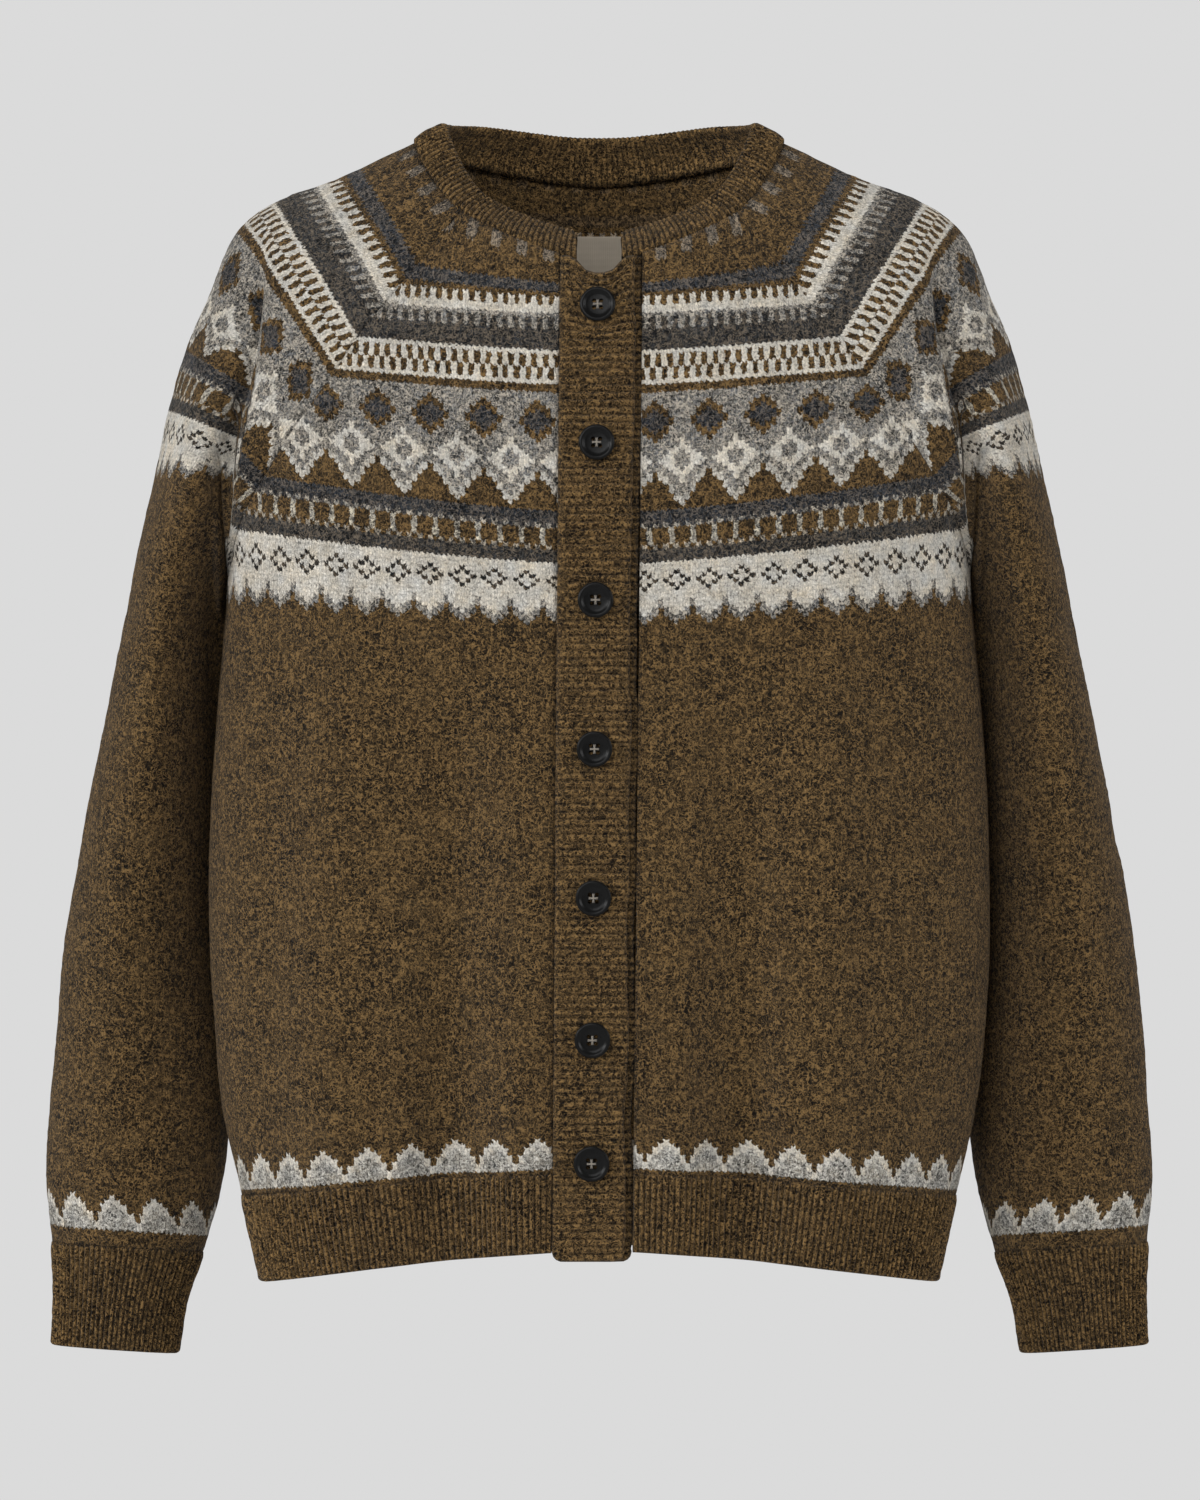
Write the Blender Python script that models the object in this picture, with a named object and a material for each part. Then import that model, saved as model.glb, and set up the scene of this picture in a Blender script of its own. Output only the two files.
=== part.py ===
"""A buttoned, round-necked raglan cardigan in thick wool, hollow, as if filled out with no wearer.

Millimetres in the tables below, metres in the scene. +Z is up, the front faces -Y, and the wearer's
right is at -X. The origin is in the middle of the neck, level with the shoulders.

A row is a line of knitting, numbered by how far in millimetres it lies below the neck seam at the
centre front. The yoke's rows run right round the garment, and turn a corner at each raglan seam.
Below the underarm row the body and the sleeves go on as tubes of their own.
"""

import math

import bpy
import numpy as np

MM = 0.001
WALL = 2.4  # plain knitting
RIB_WALL = 2.6  # ribbed knitting, without its ribs
RIB_HEIGHT = 0.9
SEAM = 0.3  # gap kept where two pieces are sewn together
DENSE = 160  # points along a row before it is divided evenly
TANGENT_STEP = 0.004  # share of a line over which its direction is read

UNDERARM_ROW = 198
HEM_ROW = 557  # top of the hem rib, counted down the side
HEM_END_ROW = 607
CUFF_ROW = 625  # top of the cuff, counted down the sleeve
CUFF_LENGTH = 60

HEM_RIB_PITCH = 6.8
NECK_COLUMNS = 152
CUFF_COLUMNS = 52
SLEEVE_COLUMNS = 24
FRONT_COLUMNS = 10
BACK_COLUMNS = 20
SLEEVE_CLEAR = 0.45  # how far a sleeve stays from the body along the raglan seams
NECK_WALL = 3.2
NECK_SEAM_LEAN = 0.22  # how far the normals at the neck seam point up
NECK_END_X = 12.8  # the neckband's ends, either side of the bands

# The front edges, by hand: how far from the middle they are at the neck and at the hem.
FRONT_EDGE = {-1: (23.0, 27.7), 1: (25.4, 19.5)}
BAND_TOP_Z, BAND_END_Z = -61.3, -636
BAND_RIB_PITCH = 8.8
BAND_WALL = 2.6
BAND_PROUD = 3.6  # how far the band on top stands out from the fronts
TOP_BAND_LEFT, TOP_BAND_RIGHT = (-22.6, -27.3), (20.9, 15.1)
TOP_BAND_PROFILE = ((0, 1.0), (0.1, 3.2), (0.5, BAND_PROUD), (0.9, 3.6), (1, 3.4))
UNDER_BAND_LEFT, UNDER_BAND_RIGHT = (-13, -20), (25.0, 19.1)
UNDER_BAND_PROFILE = ((0, -1.2), (0.5, -1.0), (1, -0.7))

BUTTON_RADIUS, BUTTON_HEIGHT, BUTTON_SIDES = 10.3, 3.4, 18
DISH_HEIGHT = 1.8  # the floor between the holes
BUTTON_GAP = 0.35
HOLE_RADIUS, HOLE_SPACING = 1.0, 4.6
BUTTON_Z = (-86, -165.5, -256, -341.5, -427, -508.5, -579.5)
BUTTON_X_TOP, BUTTON_X_END = -0.9, -4.4
LABEL_WIDTH, LABEL_TOP_Z, LABEL_HEIGHT, LABEL_WALL = 46, -42, 34, 0.8

KNIT_COLOUR = (0.085, 0.055, 0.026, 1)
BUTTON_COLOUR = (0.012, 0.012, 0.013, 1)
LABEL_COLOUR = (0.17, 0.155, 0.135, 1)


def table(names, *rows):
    """A small table's columns, by name."""
    return dict(zip(names.split(), np.array(rows, float).T))


# The body, row by row: half its width, the roundness of its outline seen from above (2 is an ellipse),
# how far its front and back stand from the side line, where the raglan or side seam is, and the height
# of the row at the centre front, at the seam in front and behind, and at the centre back.
BODY = table(
    "row   half  round front back  seam_x front_z seam_z back_seam_z back_z",
    (0,    107,  2.0,  74,   75,   80,    -60,    -31,   2,          -10),
    (17,   141,  2.2,  79,   78,   108,   -77,    -66,   -26,        -33),
    (51,   184,  2.3,  87,   84,   137,   -110,   -101,  -66,        -78),
    (71,   204,  2.4,  91,   87,   150,   -130,   -120,  -90,        -103),
    (115,  222,  2.5,  98,   91,   176,   -174,   -157,  -138,       -155),
    (147,  219,  2.6,  101,  93,   193,   -206,   -184,  -172,       -190),
    (169,  216,  2.6,  103,  94,   205,   -228,   -206,  -199,       -215),
    (183,  214.5, 2.6, 103,  94,   211,   -242,   -223,  -219,       -231),
    (192,  214.5, 2.6, 103.5, 94.5, 213.7, -250,  -234,  -232,       -240),
    (198,  215,  2.6,  104,  95,   215,   -256,   -241,  -241,       -246),
    (242,  219,  2.6,  105,  95,   219,   -298,   -285,  -285,       -290),
    (344,  225.5, 2.6, 106,  96,   225.5, -393,   -387,  -387,       -388),
    (432,  225,  2.6,  104,  95,   225,   -473,   -475,  -475,       -472),
    (508,  218,  2.6,  100,  92,   218,   -541,   -551,  -551,       -543),
    (557,  207,  2.6,  96,   90,   207,   -585,   -600,  -600,       -585),
    (607,  195.5, 2.6, 95,   89,   195.5, -630,   -650,  -650,       -631),
)

# The sleeve, row by row: its outer line (shoulder, then the outside of the arm), and below the underarm
# its inner line. Each row bulges in front and behind: reach is how far its curve is drawn to the front
# from the seam and from the outer line, and out and up are how it leaves the seam.
SLEEVE = table(
    "row   outer_x outer_y outer_z inner_x inner_y inner_z seam_out seam_reach seam_up reach lean drop",
    (0,    107,    0,      10,     80,     0,      -31,    17.7,    -13.6,     16,     18,   0,   3),
    (17,   141.5,  0,      -7,     109,    0,      -67,    12,      -7,        25,     24,   2,   8),
    (51,   184.4,  0,      -23,    138,    0,      -101,   17,      -6,        30,     34,   3,   6),
    (71,   204.7,  0,      -35,    147,    0,      -119,   20,      -6,        31,     40,   3,   5),
    (115,  228.5,  1,      -82,    176,    0,      -157,   18,      -1,        30,     56,   6,   6),
    (147,  240,    3,      -110,   193,    0,      -184,   14,      12,        38,     62,   10,  8),
    (169,  247.5,  4,      -137,   203,    0,      -206,   7,       35,        56,     66,   11,  8),
    (183,  251.5,  5,      -152,   211,    0,      -223,   4,       53,        62,     68,   11,  8),
    (198,  255,    6,      -168,   215,    0,      -241,   2,       83,        66,     71,   10,  8),
    (247,  266.8,  12,     -221,   216.2,  28,     -285,   12,      84,        35,     77,   4,   8),
    (340,  286.5,  24,     -322,   220.2,  34,     -370,   17,      80,        15,     76,   0,   8),
    (438,  307,    34,     -429,   221,    38,     -460,   15,      72,        8,      70,   0,   6),
    (527,  317.5,  38,     -522,   215.5,  41,     -543,   9,       62,        5,      63,   0,   4),
    (592,  321.3,  38,     -593,   221,    38,     -603,   0,       55,        2,      55,   0,   2),
    (625,  318,    36,     -628,   231,    36,     -634,   0,       45,        1,      45,   0,   1),
    (655,  316.5,  35,     -657,   241,    35,     -662,   0,       38,        0,      38,   0,   0),
    (685,  318,    34,     -688,   246,    34,     -693,   0,       34,        0,      34,   0,   0),
)
BACK_REACH = 1.08  # a sleeve is a little fuller behind

# The neckband's top edge against its seam: how far in, and how far up, from centre front to centre back.
NECKBAND = table(
    "turn  narrower shallower rise",
    (0.00, 0.86,    0.74,     16),
    (0.25, 0.83,    0.76,     11),
    (0.50, 0.825,   1.00,     12),
    (0.75, 0.83,    0.84,     21),
    (1.00, 0.83,    0.84,     26),
)

# Soft folds that hang from the chest and deepen to the hem: where each starts and ends across the
# front or back, how far it stands out (in, if negative) at the hem, its half width, and its top.
FOLDS = table(
    "side  top_x end_x depth width top_z",
    (-1,   -150, -157, 5,    26,   -300),
    (-1,   -90,  -86,  -8,   27,   -280),
    (-1,   -45,  -42,  4,    20,   -380),
    (-1,   40,   44,   4,    20,   -360),
    (-1,   95,   80,   -8,   25,   -300),
    (-1,   140,  135,  5,    26,   -290),
    (1,    -120, -128, -7,   28,   -300),
    (1,    -55,  -60,  6,    30,   -250),
    (1,    10,   16,   -8,   28,   -280),
    (1,    75,   82,   6,    26,   -320),
    (1,    130,  140,  -6,   26,   -270),
)

# The crease in front of the arm, where the sleeve folds back behind the body's front: where it crosses
# each row, how far back the arm's side of it lies, how deep the crease is beside that, and how much
# higher the row goes on beyond it.
CREASE = table(
    "row  x      step  depth slip",
    (60,  187,   0,    0,    0),
    (78,  189,   4,    3,    2),
    (93,  191,   10,   6,    7),
    (115, 195,   15,   8,    16),
    (131, 198.5, 17,   8,    22),
    (147, 202,   17,   8,    28),
    (165, 205.5, 15,   7,    34),
    (183, 209,   10,   5,    38),
    (198, 213,   4,    0,    34),
    (222, 217,   0,    0,    26),
    (247, 217,   0,    0,    18),
    (290, 218,   0,    0,    8),
    (340, 219,   0,    0,    0),
)
CREASE_RISE, CREASE_WIDTH = 9, 7  # over how much of the width the step rises, and the trough's half width
CREASE_FADE = 0.7  # how late the step fades out towards the outer line


def curve(keys, values, at):
    """A smooth curve through the points (key, value), read at some keys."""
    slopes = np.gradient(values, keys)
    i = np.clip(np.searchsorted(keys, at) - 1, 0, len(keys) - 2)
    span = keys[i + 1] - keys[i]
    t = np.clip((at - keys[i]) / span, 0, 1)
    return (
        values[i] * (1 + 2 * t) * (1 - t) ** 2
        + values[i + 1] * t**2 * (3 - 2 * t)
        + span * (slopes[i] * t * (1 - t) ** 2 - slopes[i + 1] * t**2 * (1 - t))
    )


def smoothly(share):
    """Smoothly from 0 to 1 as share goes from 0 to 1."""
    share = np.clip(share, 0, 1)
    return share**2 * (3 - 2 * share)


def at_row(columns, row):
    """Every column of a table, read at one row of knitting."""
    keys = columns["row"]
    return {name: float(curve(keys, values, row)) for name, values in columns.items()}


def evenly(points, shares):
    """Points at the given shares of a line's length."""
    steps = np.linalg.norm(np.diff(points, axis=0), axis=1)
    along = np.concatenate([[0], np.cumsum(steps)])
    wanted = np.asarray(shares) * along[-1]
    return np.stack([np.interp(wanted, along, points[:, k]) for k in range(3)], axis=1)


def divided(line, shares):
    """Points at shares of a line's length, and the line's direction at each."""
    ahead = evenly(line, np.clip(shares + TANGENT_STEP, 0, 1))
    behind = evenly(line, np.clip(shares - TANGENT_STEP, 0, 1))
    direction = ahead - behind
    return evenly(line, shares), direction / np.linalg.norm(direction, axis=1, keepdims=True)


def fold_depth(x, z, side):
    """How far the folds of the front (side -1) or the back (side 1) stand out at a place."""
    total = np.zeros_like(x)
    hem_z = -640
    for k in np.flatnonzero(FOLDS["side"] == side):
        down = np.clip((FOLDS["top_z"][k] - z) / (FOLDS["top_z"][k] - hem_z), 0, 1)
        centre = FOLDS["top_x"][k] + (FOLDS["end_x"][k] - FOLDS["top_x"][k]) * down
        shape = np.exp(-(((x - centre) / FOLDS["width"][k]) ** 2))
        total += FOLDS["depth"][k] * down**1.3 * shape
    return total


def body_half(row, side, hand, start_x=0.0):
    """One row from near the centre to the raglan or side seam, in front (side -1) or behind (1)."""
    b = at_row(BODY, row)
    depth, centre_z, seam_z = (
        (b["front"], b["front_z"], b["seam_z"]) if side < 0 else (b["back"], b["back_z"], b["back_seam_z"])
    )
    seam_share = min(b["seam_x"] / b["half"], 1)
    first, last = (math.asin(share ** (b["round"] / 2)) for share in (start_x / b["half"], seam_share))
    turn = np.linspace(first, last, DENSE)
    x = b["half"] * np.sin(turn) ** (2 / b["round"])
    out = depth * np.abs(np.cos(turn)) ** (2 / b["round"])
    z = centre_z + (seam_z - centre_z) * (x / (b["half"] * seam_share)) ** 1.5
    out += fold_depth(hand * x, z, side) * (1 - (x / b["half"]) ** 4)
    return np.stack([hand * x, side * out, z], axis=1)


def seam_point(row, side):
    """Where the raglan seam, or below it the sleeve's inner line, crosses a row, on the wearer's left."""
    if row <= UNDERARM_ROW:
        return body_half(row, side, 1)[-1]
    s = at_row(SLEEVE, row)
    return np.array([s["inner_x"], s["inner_y"], s["inner_z"]])


def bezier(points):
    t = np.linspace(0, 1, DENSE)[:, None]
    a, b, c, d = (np.asarray(p, float) for p in points)
    return a * (1 - t) ** 3 + 3 * b * t * (1 - t) ** 2 + 3 * c * t**2 * (1 - t) + d * t**3


def sleeve_half(row, side):
    """One row of a sleeve from its seam or inner line to its outer line, on the wearer's left."""
    s = at_row(SLEEVE, row)
    seam = seam_point(row, side)
    outer = np.array([s["outer_x"], s["outer_y"], s["outer_z"]])
    fuller = BACK_REACH if side > 0 else 1
    climb = s["seam_up"] * (outer[2] - seam[2]) / max(outer[2] - s["inner_z"], 1)
    leave = seam + (s["seam_out"], side * fuller * s["seam_reach"], climb)
    arrive = outer + (-s["lean"], side * fuller * s["reach"], -s["drop"])
    points = bezier((seam, leave, arrive, outer))
    if side < 0 and row < CREASE["row"][-1]:
        c = at_row(CREASE, max(row, CREASE["row"][0]))
        from_crease = points[:, 0] - c["x"]
        rise = smoothly(from_crease / CREASE_RISE)
        left = np.clip((s["outer_x"] - points[:, 0]) / (s["outer_x"] - c["x"]), 0, 1)
        trough = np.exp(-(((from_crease - CREASE_RISE / 2) / CREASE_WIDTH) ** 2))
        clear = smoothly((points[:, 0] - seam[0]) / CREASE_WIDTH)  # nothing moves at the seam itself
        points[:, 1] += (rise * left**CREASE_FADE * c["step"] + trough * c["depth"]) * clear
        points[:, 2] += rise * left * c["slip"] * clear
    return points


def outward(grid, around):
    """Unit normals of a grid of points, away from the middle of each row.

    around holds the direction along the row at each point.
    """
    normal = np.cross(around, np.gradient(grid, axis=0))
    normal /= np.linalg.norm(normal, axis=2, keepdims=True)
    away = grid - grid.mean(axis=1, keepdims=True)
    return normal * np.sign((normal * away).sum())


def material(name, colour, roughness):
    made = bpy.data.materials.get(name) or bpy.data.materials.new(name)
    made.use_nodes = True
    shader = made.node_tree.nodes["Principled BSDF"]
    shader.inputs["Base Color"].default_value = colour
    shader.inputs["Roughness"].default_value = roughness
    return made


def add_mesh(name, points, faces, looks):
    mesh = bpy.data.meshes.new(name)
    mesh.from_pydata((np.asarray(points) * MM).tolist(), [], faces)
    mesh.shade_smooth()
    mesh.set_sharp_from_angle(angle=math.radians(50))
    mesh.materials.append(looks)
    made = bpy.data.objects.new(name, mesh)
    bpy.context.scene.collection.objects.link(made)
    return made


def lace(first, second):
    """Triangles between two lines of points, which may have different numbers of them."""
    faces, i, j = [], 0, 0
    while i < len(first) - 1 or j < len(second) - 1:
        if j == len(second) - 1 or (
            i < len(first) - 1 and (i + 1) / (len(first) - 1) <= (j + 1) / (len(second) - 1)
        ):
            faces.append((first[i], first[i + 1], second[j]))
            i += 1
        else:
            faces.append((first[i], second[j + 1], second[j]))
            j += 1
    return faces


def add_wall(name, outer, inner, looks, closed_from=None):
    """A closed wall between two grids with the same number of rows.

    closed_from is the row from which the first and last columns are one line, as on a tube.
    """
    rows = len(outer)
    closed_from = rows if closed_from is None else closed_from
    points, ids = [], []
    for grid in (outer, inner):
        numbers = np.zeros(grid.shape[:2], int)
        for r in range(rows):
            for c in range(grid.shape[1]):
                if r >= closed_from and c == grid.shape[1] - 1:
                    numbers[r, c] = numbers[r, 0]
                else:
                    numbers[r, c] = len(points)
                    points.append(grid[r, c])
        ids.append(numbers.tolist())
    out, back = ids
    faces = []
    for r in range(rows - 1):
        for c in range(len(out[0]) - 1):
            faces.append((out[r][c], out[r + 1][c], out[r + 1][c + 1], out[r][c + 1]))
        for c in range(len(back[0]) - 1):
            faces.append((back[r][c], back[r][c + 1], back[r + 1][c + 1], back[r + 1][c]))
        if r < closed_from:
            faces.append((out[r][0], back[r][0], back[r + 1][0], out[r + 1][0]))
            faces.append((out[r][-1], out[r + 1][-1], back[r + 1][-1], back[r][-1]))
    faces += lace(out[0], back[0])
    faces += [face[::-1] for face in lace(out[-1], back[-1])]
    if volume_of(points, faces) < 0:
        faces = [face[::-1] for face in faces]
    return add_mesh(name, points, faces, looks)


def volume_of(points, faces):
    """A mesh's volume, which is negative if its faces point inwards."""
    p = np.asarray(points)
    triangles = [(f[0], f[k], f[k + 1]) for f in faces for k in range(1, len(f) - 1)]
    return np.linalg.det(p[np.array(triangles)]).sum() / 6


YOKE_ROWS = np.array([0.1, 17, 34, 52, 71, 93, 115, 131, 147, 165, 183, 192, UNDERARM_ROW])
BODY_ROWS = np.concatenate([YOKE_ROWS, np.linspace(UNDERARM_ROW, HEM_ROW - SEAM / 2, 9)[1:]])
HEM_ROWS = np.array([HEM_ROW + SEAM, 582, HEM_END_ROW])
SLEEVE_ROWS = np.concatenate([YOKE_ROWS, np.linspace(UNDERARM_ROW, CUFF_ROW - SEAM / 2, 11)[1:]])
CUFF_ROWS = CUFF_ROW + SEAM / 2 + np.linspace(0, CUFF_LENGTH, 3)


def front_line(row, hand):
    """One row of a front panel, from the band's edge to the raglan or side seam."""
    top, end = FRONT_EDGE[hand]
    start = top + (end - top) * min(row / HEM_END_ROW, 1)
    return body_half(row, -1, hand, start)


def back_line(row):
    """One row of the back, from seam to seam."""
    return np.concatenate([body_half(row, 1, -1)[::-1], body_half(row, 1, 1)[1:]])


def grid_of(rows, line_at):
    """A piece's outside and its outward normals, from a function that gives one row of it."""
    lines = [line_at(row) for row in rows]
    grid, around = (np.array(part) for part in zip(*lines))
    return grid, outward(grid, around)


def sleeve_line(row, hand, columns):
    """One row of a sleeve: from the front seam over the outer line to the back seam."""
    shares = np.linspace(0, 1, columns // 2 + 1)
    ahead, ahead_way = divided(sleeve_half(row, -1), shares)
    behind, behind_way = divided(sleeve_half(row, 1)[::-1], shares)
    line = np.concatenate([ahead, behind[1:]])
    line[:, 0] += SLEEVE_CLEAR
    way = np.concatenate([ahead_way, behind_way[1:]])
    return line * (hand, 1, 1), way * (hand, 1, 1)


def trimmed(line, columns):
    """A line divided evenly, half a seam's gap short at each end, and its directions."""
    length = np.linalg.norm(np.diff(line, axis=0), axis=1).sum()
    trim = SEAM / 2 / length
    return divided(line, np.linspace(trim, 1 - trim, columns + 1))


def panel(name, line_at, columns, looks):
    """A plain panel of the body."""
    outer, normals = grid_of(BODY_ROWS, lambda row: trimmed(line_at(row), columns))
    return add_wall(name, outer, outer - WALL * normals, looks)


def ribbed(grid, normals, relief=1.0):
    """The points of every second column moved out, as ribs."""
    raised = (np.arange(grid.shape[1]) % 2)[None, :, None]
    return grid + normals * raised * RIB_HEIGHT * relief


def hem_rib(name, line_at, looks):
    """The ribbed hem below a panel, plain on its inside."""
    width = np.linalg.norm(np.diff(line_at(HEM_ROW), axis=0), axis=1).sum()
    columns = 2 * round(width / HEM_RIB_PITCH)
    outer, normals = grid_of(HEM_ROWS, lambda row: trimmed(line_at(row), columns))
    inner, inner_normals = grid_of(HEM_ROWS, lambda row: trimmed(line_at(row), columns // 2))
    return add_wall(name, ribbed(outer, normals), inner - RIB_WALL * inner_normals, looks)


def sleeve(name, hand, looks):
    outer, normals = grid_of(SLEEVE_ROWS, lambda row: sleeve_line(row, hand, SLEEVE_COLUMNS))
    return add_wall(name, outer, outer - WALL * normals, looks, len(YOKE_ROWS) - 1)


def cuff(name, hand, looks):
    outer, normals = grid_of(CUFF_ROWS, lambda row: sleeve_line(row, hand, CUFF_COLUMNS))
    inner, inner_normals = grid_of(CUFF_ROWS, lambda row: sleeve_line(row, hand, CUFF_COLUMNS // 2))
    return add_wall(name, ribbed(outer, normals), inner - RIB_WALL * inner_normals, looks, 0)


def neck_seam(columns):
    """The neck seam from one front's end round the back to the other's."""
    quarter = columns // 4
    shares = np.linspace(0, 1, quarter + 1)
    ahead = np.concatenate([body_half(0, -1, 1, NECK_END_X), sleeve_half(0, -1)[1:]])
    behind = np.concatenate([sleeve_half(0, 1)[::-1], body_half(0, 1, 1)[::-1][1:]])
    half = np.concatenate([evenly(ahead, shares), evenly(behind, shares)[1:]])
    return np.concatenate([half, half[::-1][1:] * (-1, 1, 1)])


def neckband_rows(columns):
    """The neckband's outside, from its seam to its top edge."""
    seam = neck_seam(columns)
    turn = 1 - np.abs(np.linspace(-1, 1, len(seam)))
    narrower, shallower, rise = (
        curve(NECKBAND["turn"], NECKBAND[name], turn) for name in ("narrower", "shallower", "rise")
    )
    top = np.stack([seam[:, 0] * narrower, seam[:, 1] * shallower, seam[:, 2] + rise], axis=1)
    # The ends keep their place beside the opening of the fronts.
    top[0, 0], top[-1, 0] = seam[0, 0], seam[-1, 0]
    rows = []
    for share in (0.0, 0.35, 0.75, 1.0):
        bulge = 1 + 0.035 * math.sin(math.pi * share) ** 0.8
        row = seam + (top - seam) * share
        rows.append(row * (bulge, bulge, 1) + (0, 0, SEAM))
    rows = np.array(rows)
    rows[:, 0, 0], rows[:, -1, 0] = NECK_END_X, -NECK_END_X
    return rows


def neckband_wall(columns):
    """The neckband's outside and its normals, which at the seam lean as those of the panels do."""
    rows = neckband_rows(columns)
    normals = outward(rows, np.gradient(rows, axis=1))
    normals[0, :, 2] = NECK_SEAM_LEAN
    return rows, normals / np.linalg.norm(normals, axis=2, keepdims=True)


def neckband(looks):
    outer, normals = neckband_wall(NECK_COLUMNS)
    plain, plain_normals = neckband_wall(NECK_COLUMNS // 4)
    relief = np.array([0.0, 1, 1, 0.3])[:, None, None]
    inner = plain - NECK_WALL * plain_normals
    inner[:, 0, 0], inner[:, -1, 0] = NECK_END_X, -NECK_END_X
    return add_wall("neckband", ribbed(outer, normals, relief), inner, looks)


def face_y(x, z, side):
    """Where the outside of the front (side -1) or back (1) lies at a place near its middle."""
    centre = BODY["front_z" if side < 0 else "back_z"]
    b = at_row(BODY, np.interp(-z, -centre, BODY["row"]))
    depth = b["front"] if side < 0 else b["back"]
    share = (1 - abs(x / b["half"]) ** b["round"]) ** (1 / b["round"])
    return side * (depth * share + float(fold_depth(np.array([x]), z, side)[0]))


def band_line(share, out, left, right, steps):
    """A line down a band at a share of its width, standing out from the fronts, in even steps."""
    points = []
    for down in np.linspace(0, 1, steps + 1):
        z = BAND_TOP_Z + (BAND_END_Z - BAND_TOP_Z) * down
        first, last = (edge[0] + (edge[1] - edge[0]) * down for edge in (left, right))
        x = first + (last - first) * share
        points.append((x, face_y(x, z, -1) - out, z))
    return points


def band(name, left, right, profile, looks):
    """A front band with ribs across it, plain on its inside.

    left and right are its edges at its top and its end. profile says how far it stands out from the
    fronts, across its width.
    """
    steps = 2 * round((BAND_TOP_Z - BAND_END_Z) / BAND_RIB_PITCH)
    outer = np.array([band_line(share, out, left, right, steps) for share, out in profile])
    outer[:, 1::2, 1] -= RIB_HEIGHT
    inner = [band_line(share, out - BAND_WALL, left, right, steps // 4) for share, out in profile]
    return add_wall(name, outer, np.array(inner), looks)


def button(name, z, looks):
    """A dished four-hole button with a rounded rim, turned about its axis."""
    rim, floor = BUTTON_RADIUS, BUTTON_RADIUS - 3.0
    profile = (
        (floor, DISH_HEIGHT), (rim - 1.6, BUTTON_HEIGHT), (rim - 0.5, BUTTON_HEIGHT - 0.2),
        (rim, BUTTON_HEIGHT - 1.1), (rim - 1.2, 0),
    )
    sides = BUTTON_SIDES
    turns = [2 * math.pi * k / sides for k in range(sides)]
    points = [(r * math.cos(turn), r * math.sin(turn), height) for r, height in profile for turn in turns]
    rings = [range(k * sides, (k + 1) * sides) for k in range(len(profile))]
    faces = [tuple(rings[0]), tuple(rings[-1])[::-1]]
    for upper, lower in zip(rings, rings[1:]):
        faces += [(upper[k - 1], lower[k - 1], lower[k], upper[k]) for k in range(sides)]
    made = add_mesh(name, points, faces, looks)
    down = (z - BUTTON_Z[0]) / (BUTTON_Z[-1] - BUTTON_Z[0])
    x = BUTTON_X_TOP + (BUTTON_X_END - BUTTON_X_TOP) * down
    reach = BUTTON_RADIUS
    above, here, below = (face_y(x, z + step, -1) for step in (reach, 0, -reach))
    lean = math.atan2(above - below, 2 * reach)
    stand = BAND_PROUD + RIB_HEIGHT + BUTTON_GAP
    made.location = (x * MM, (min(here, (above + below) / 2) - stand) * MM, z * MM)
    made.rotation_euler = (math.pi / 2 - lean, 0, 0)
    for right in (-1, 1):
        for up in (-1, 1):
            drill_hole(made, right * HOLE_SPACING / 2, up * HOLE_SPACING / 2)
    return made


def drill_hole(made, x, y):
    """A round hole through a button, as a cutter that stays hidden."""
    bpy.ops.mesh.primitive_cylinder_add(vertices=6, radius=HOLE_RADIUS * MM, depth=4 * BUTTON_HEIGHT * MM)
    cutter = bpy.context.object
    cutter.name = made.name + "_hole"
    cutter.parent = made
    cutter.location = (x * MM, y * MM, 0)
    cutter.hide_render = True
    cutter.display_type = "WIRE"
    cut = made.modifiers.new("hole", "BOOLEAN")
    cut.object = cutter
    cut.operation = "DIFFERENCE"


def neck_label(looks):
    """A blank label on the inside of the back, below the neckband."""
    xs = np.linspace(-LABEL_WIDTH / 2, LABEL_WIDTH / 2, 9)
    zs = np.linspace(LABEL_TOP_Z, LABEL_TOP_Z - LABEL_HEIGHT, 4)
    panel_inside = WALL + 3 * SEAM
    near = np.array([[(x, face_y(x, z, 1) - panel_inside, z) for x in xs] for z in zs])
    return add_wall("neck_label", near, near - (0, LABEL_WALL, 0), looks)


def main():
    for old in list(bpy.data.objects):
        bpy.data.objects.remove(old, do_unlink=True)
    knit = material("brown heather wool", KNIT_COLOUR, 0.95)
    black = material("black button", BUTTON_COLOUR, 0.35)
    for name, hand in (("right", -1), ("left", 1)):
        panel("front_" + name, lambda row: front_line(row, hand), FRONT_COLUMNS, knit)
        hem_rib("hem_rib_front_" + name, lambda row: front_line(row, hand), knit)
        sleeve("sleeve_" + name, hand, knit)
        cuff("cuff_" + name, hand, knit)
    panel("back", back_line, BACK_COLUMNS, knit)
    hem_rib("hem_rib_back", back_line, knit)
    neckband(knit)
    band("buttonhole_band", TOP_BAND_LEFT, TOP_BAND_RIGHT, TOP_BAND_PROFILE, knit)
    band("button_band", UNDER_BAND_LEFT, UNDER_BAND_RIGHT, UNDER_BAND_PROFILE, knit)
    for number, z in enumerate(BUTTON_Z, start=1):
        button(f"button_{number}", z, black)
    neck_label(material("grey-brown label", LABEL_COLOUR, 0.6))


main()
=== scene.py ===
"""A buttoned raglan cardigan in thick brown wool with a colourwork yoke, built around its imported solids.

Millimetres in the tables, metres in the scene. +Z is up, the front faces -Y, and the wearer's right is
at -X. A row is a line of knitting, numbered by how far in millimetres it lies below the neck seam at
the centre front. The yoke's rows run right round, and turn a corner at each raglan seam.
"""

import math
from types import SimpleNamespace

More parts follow.
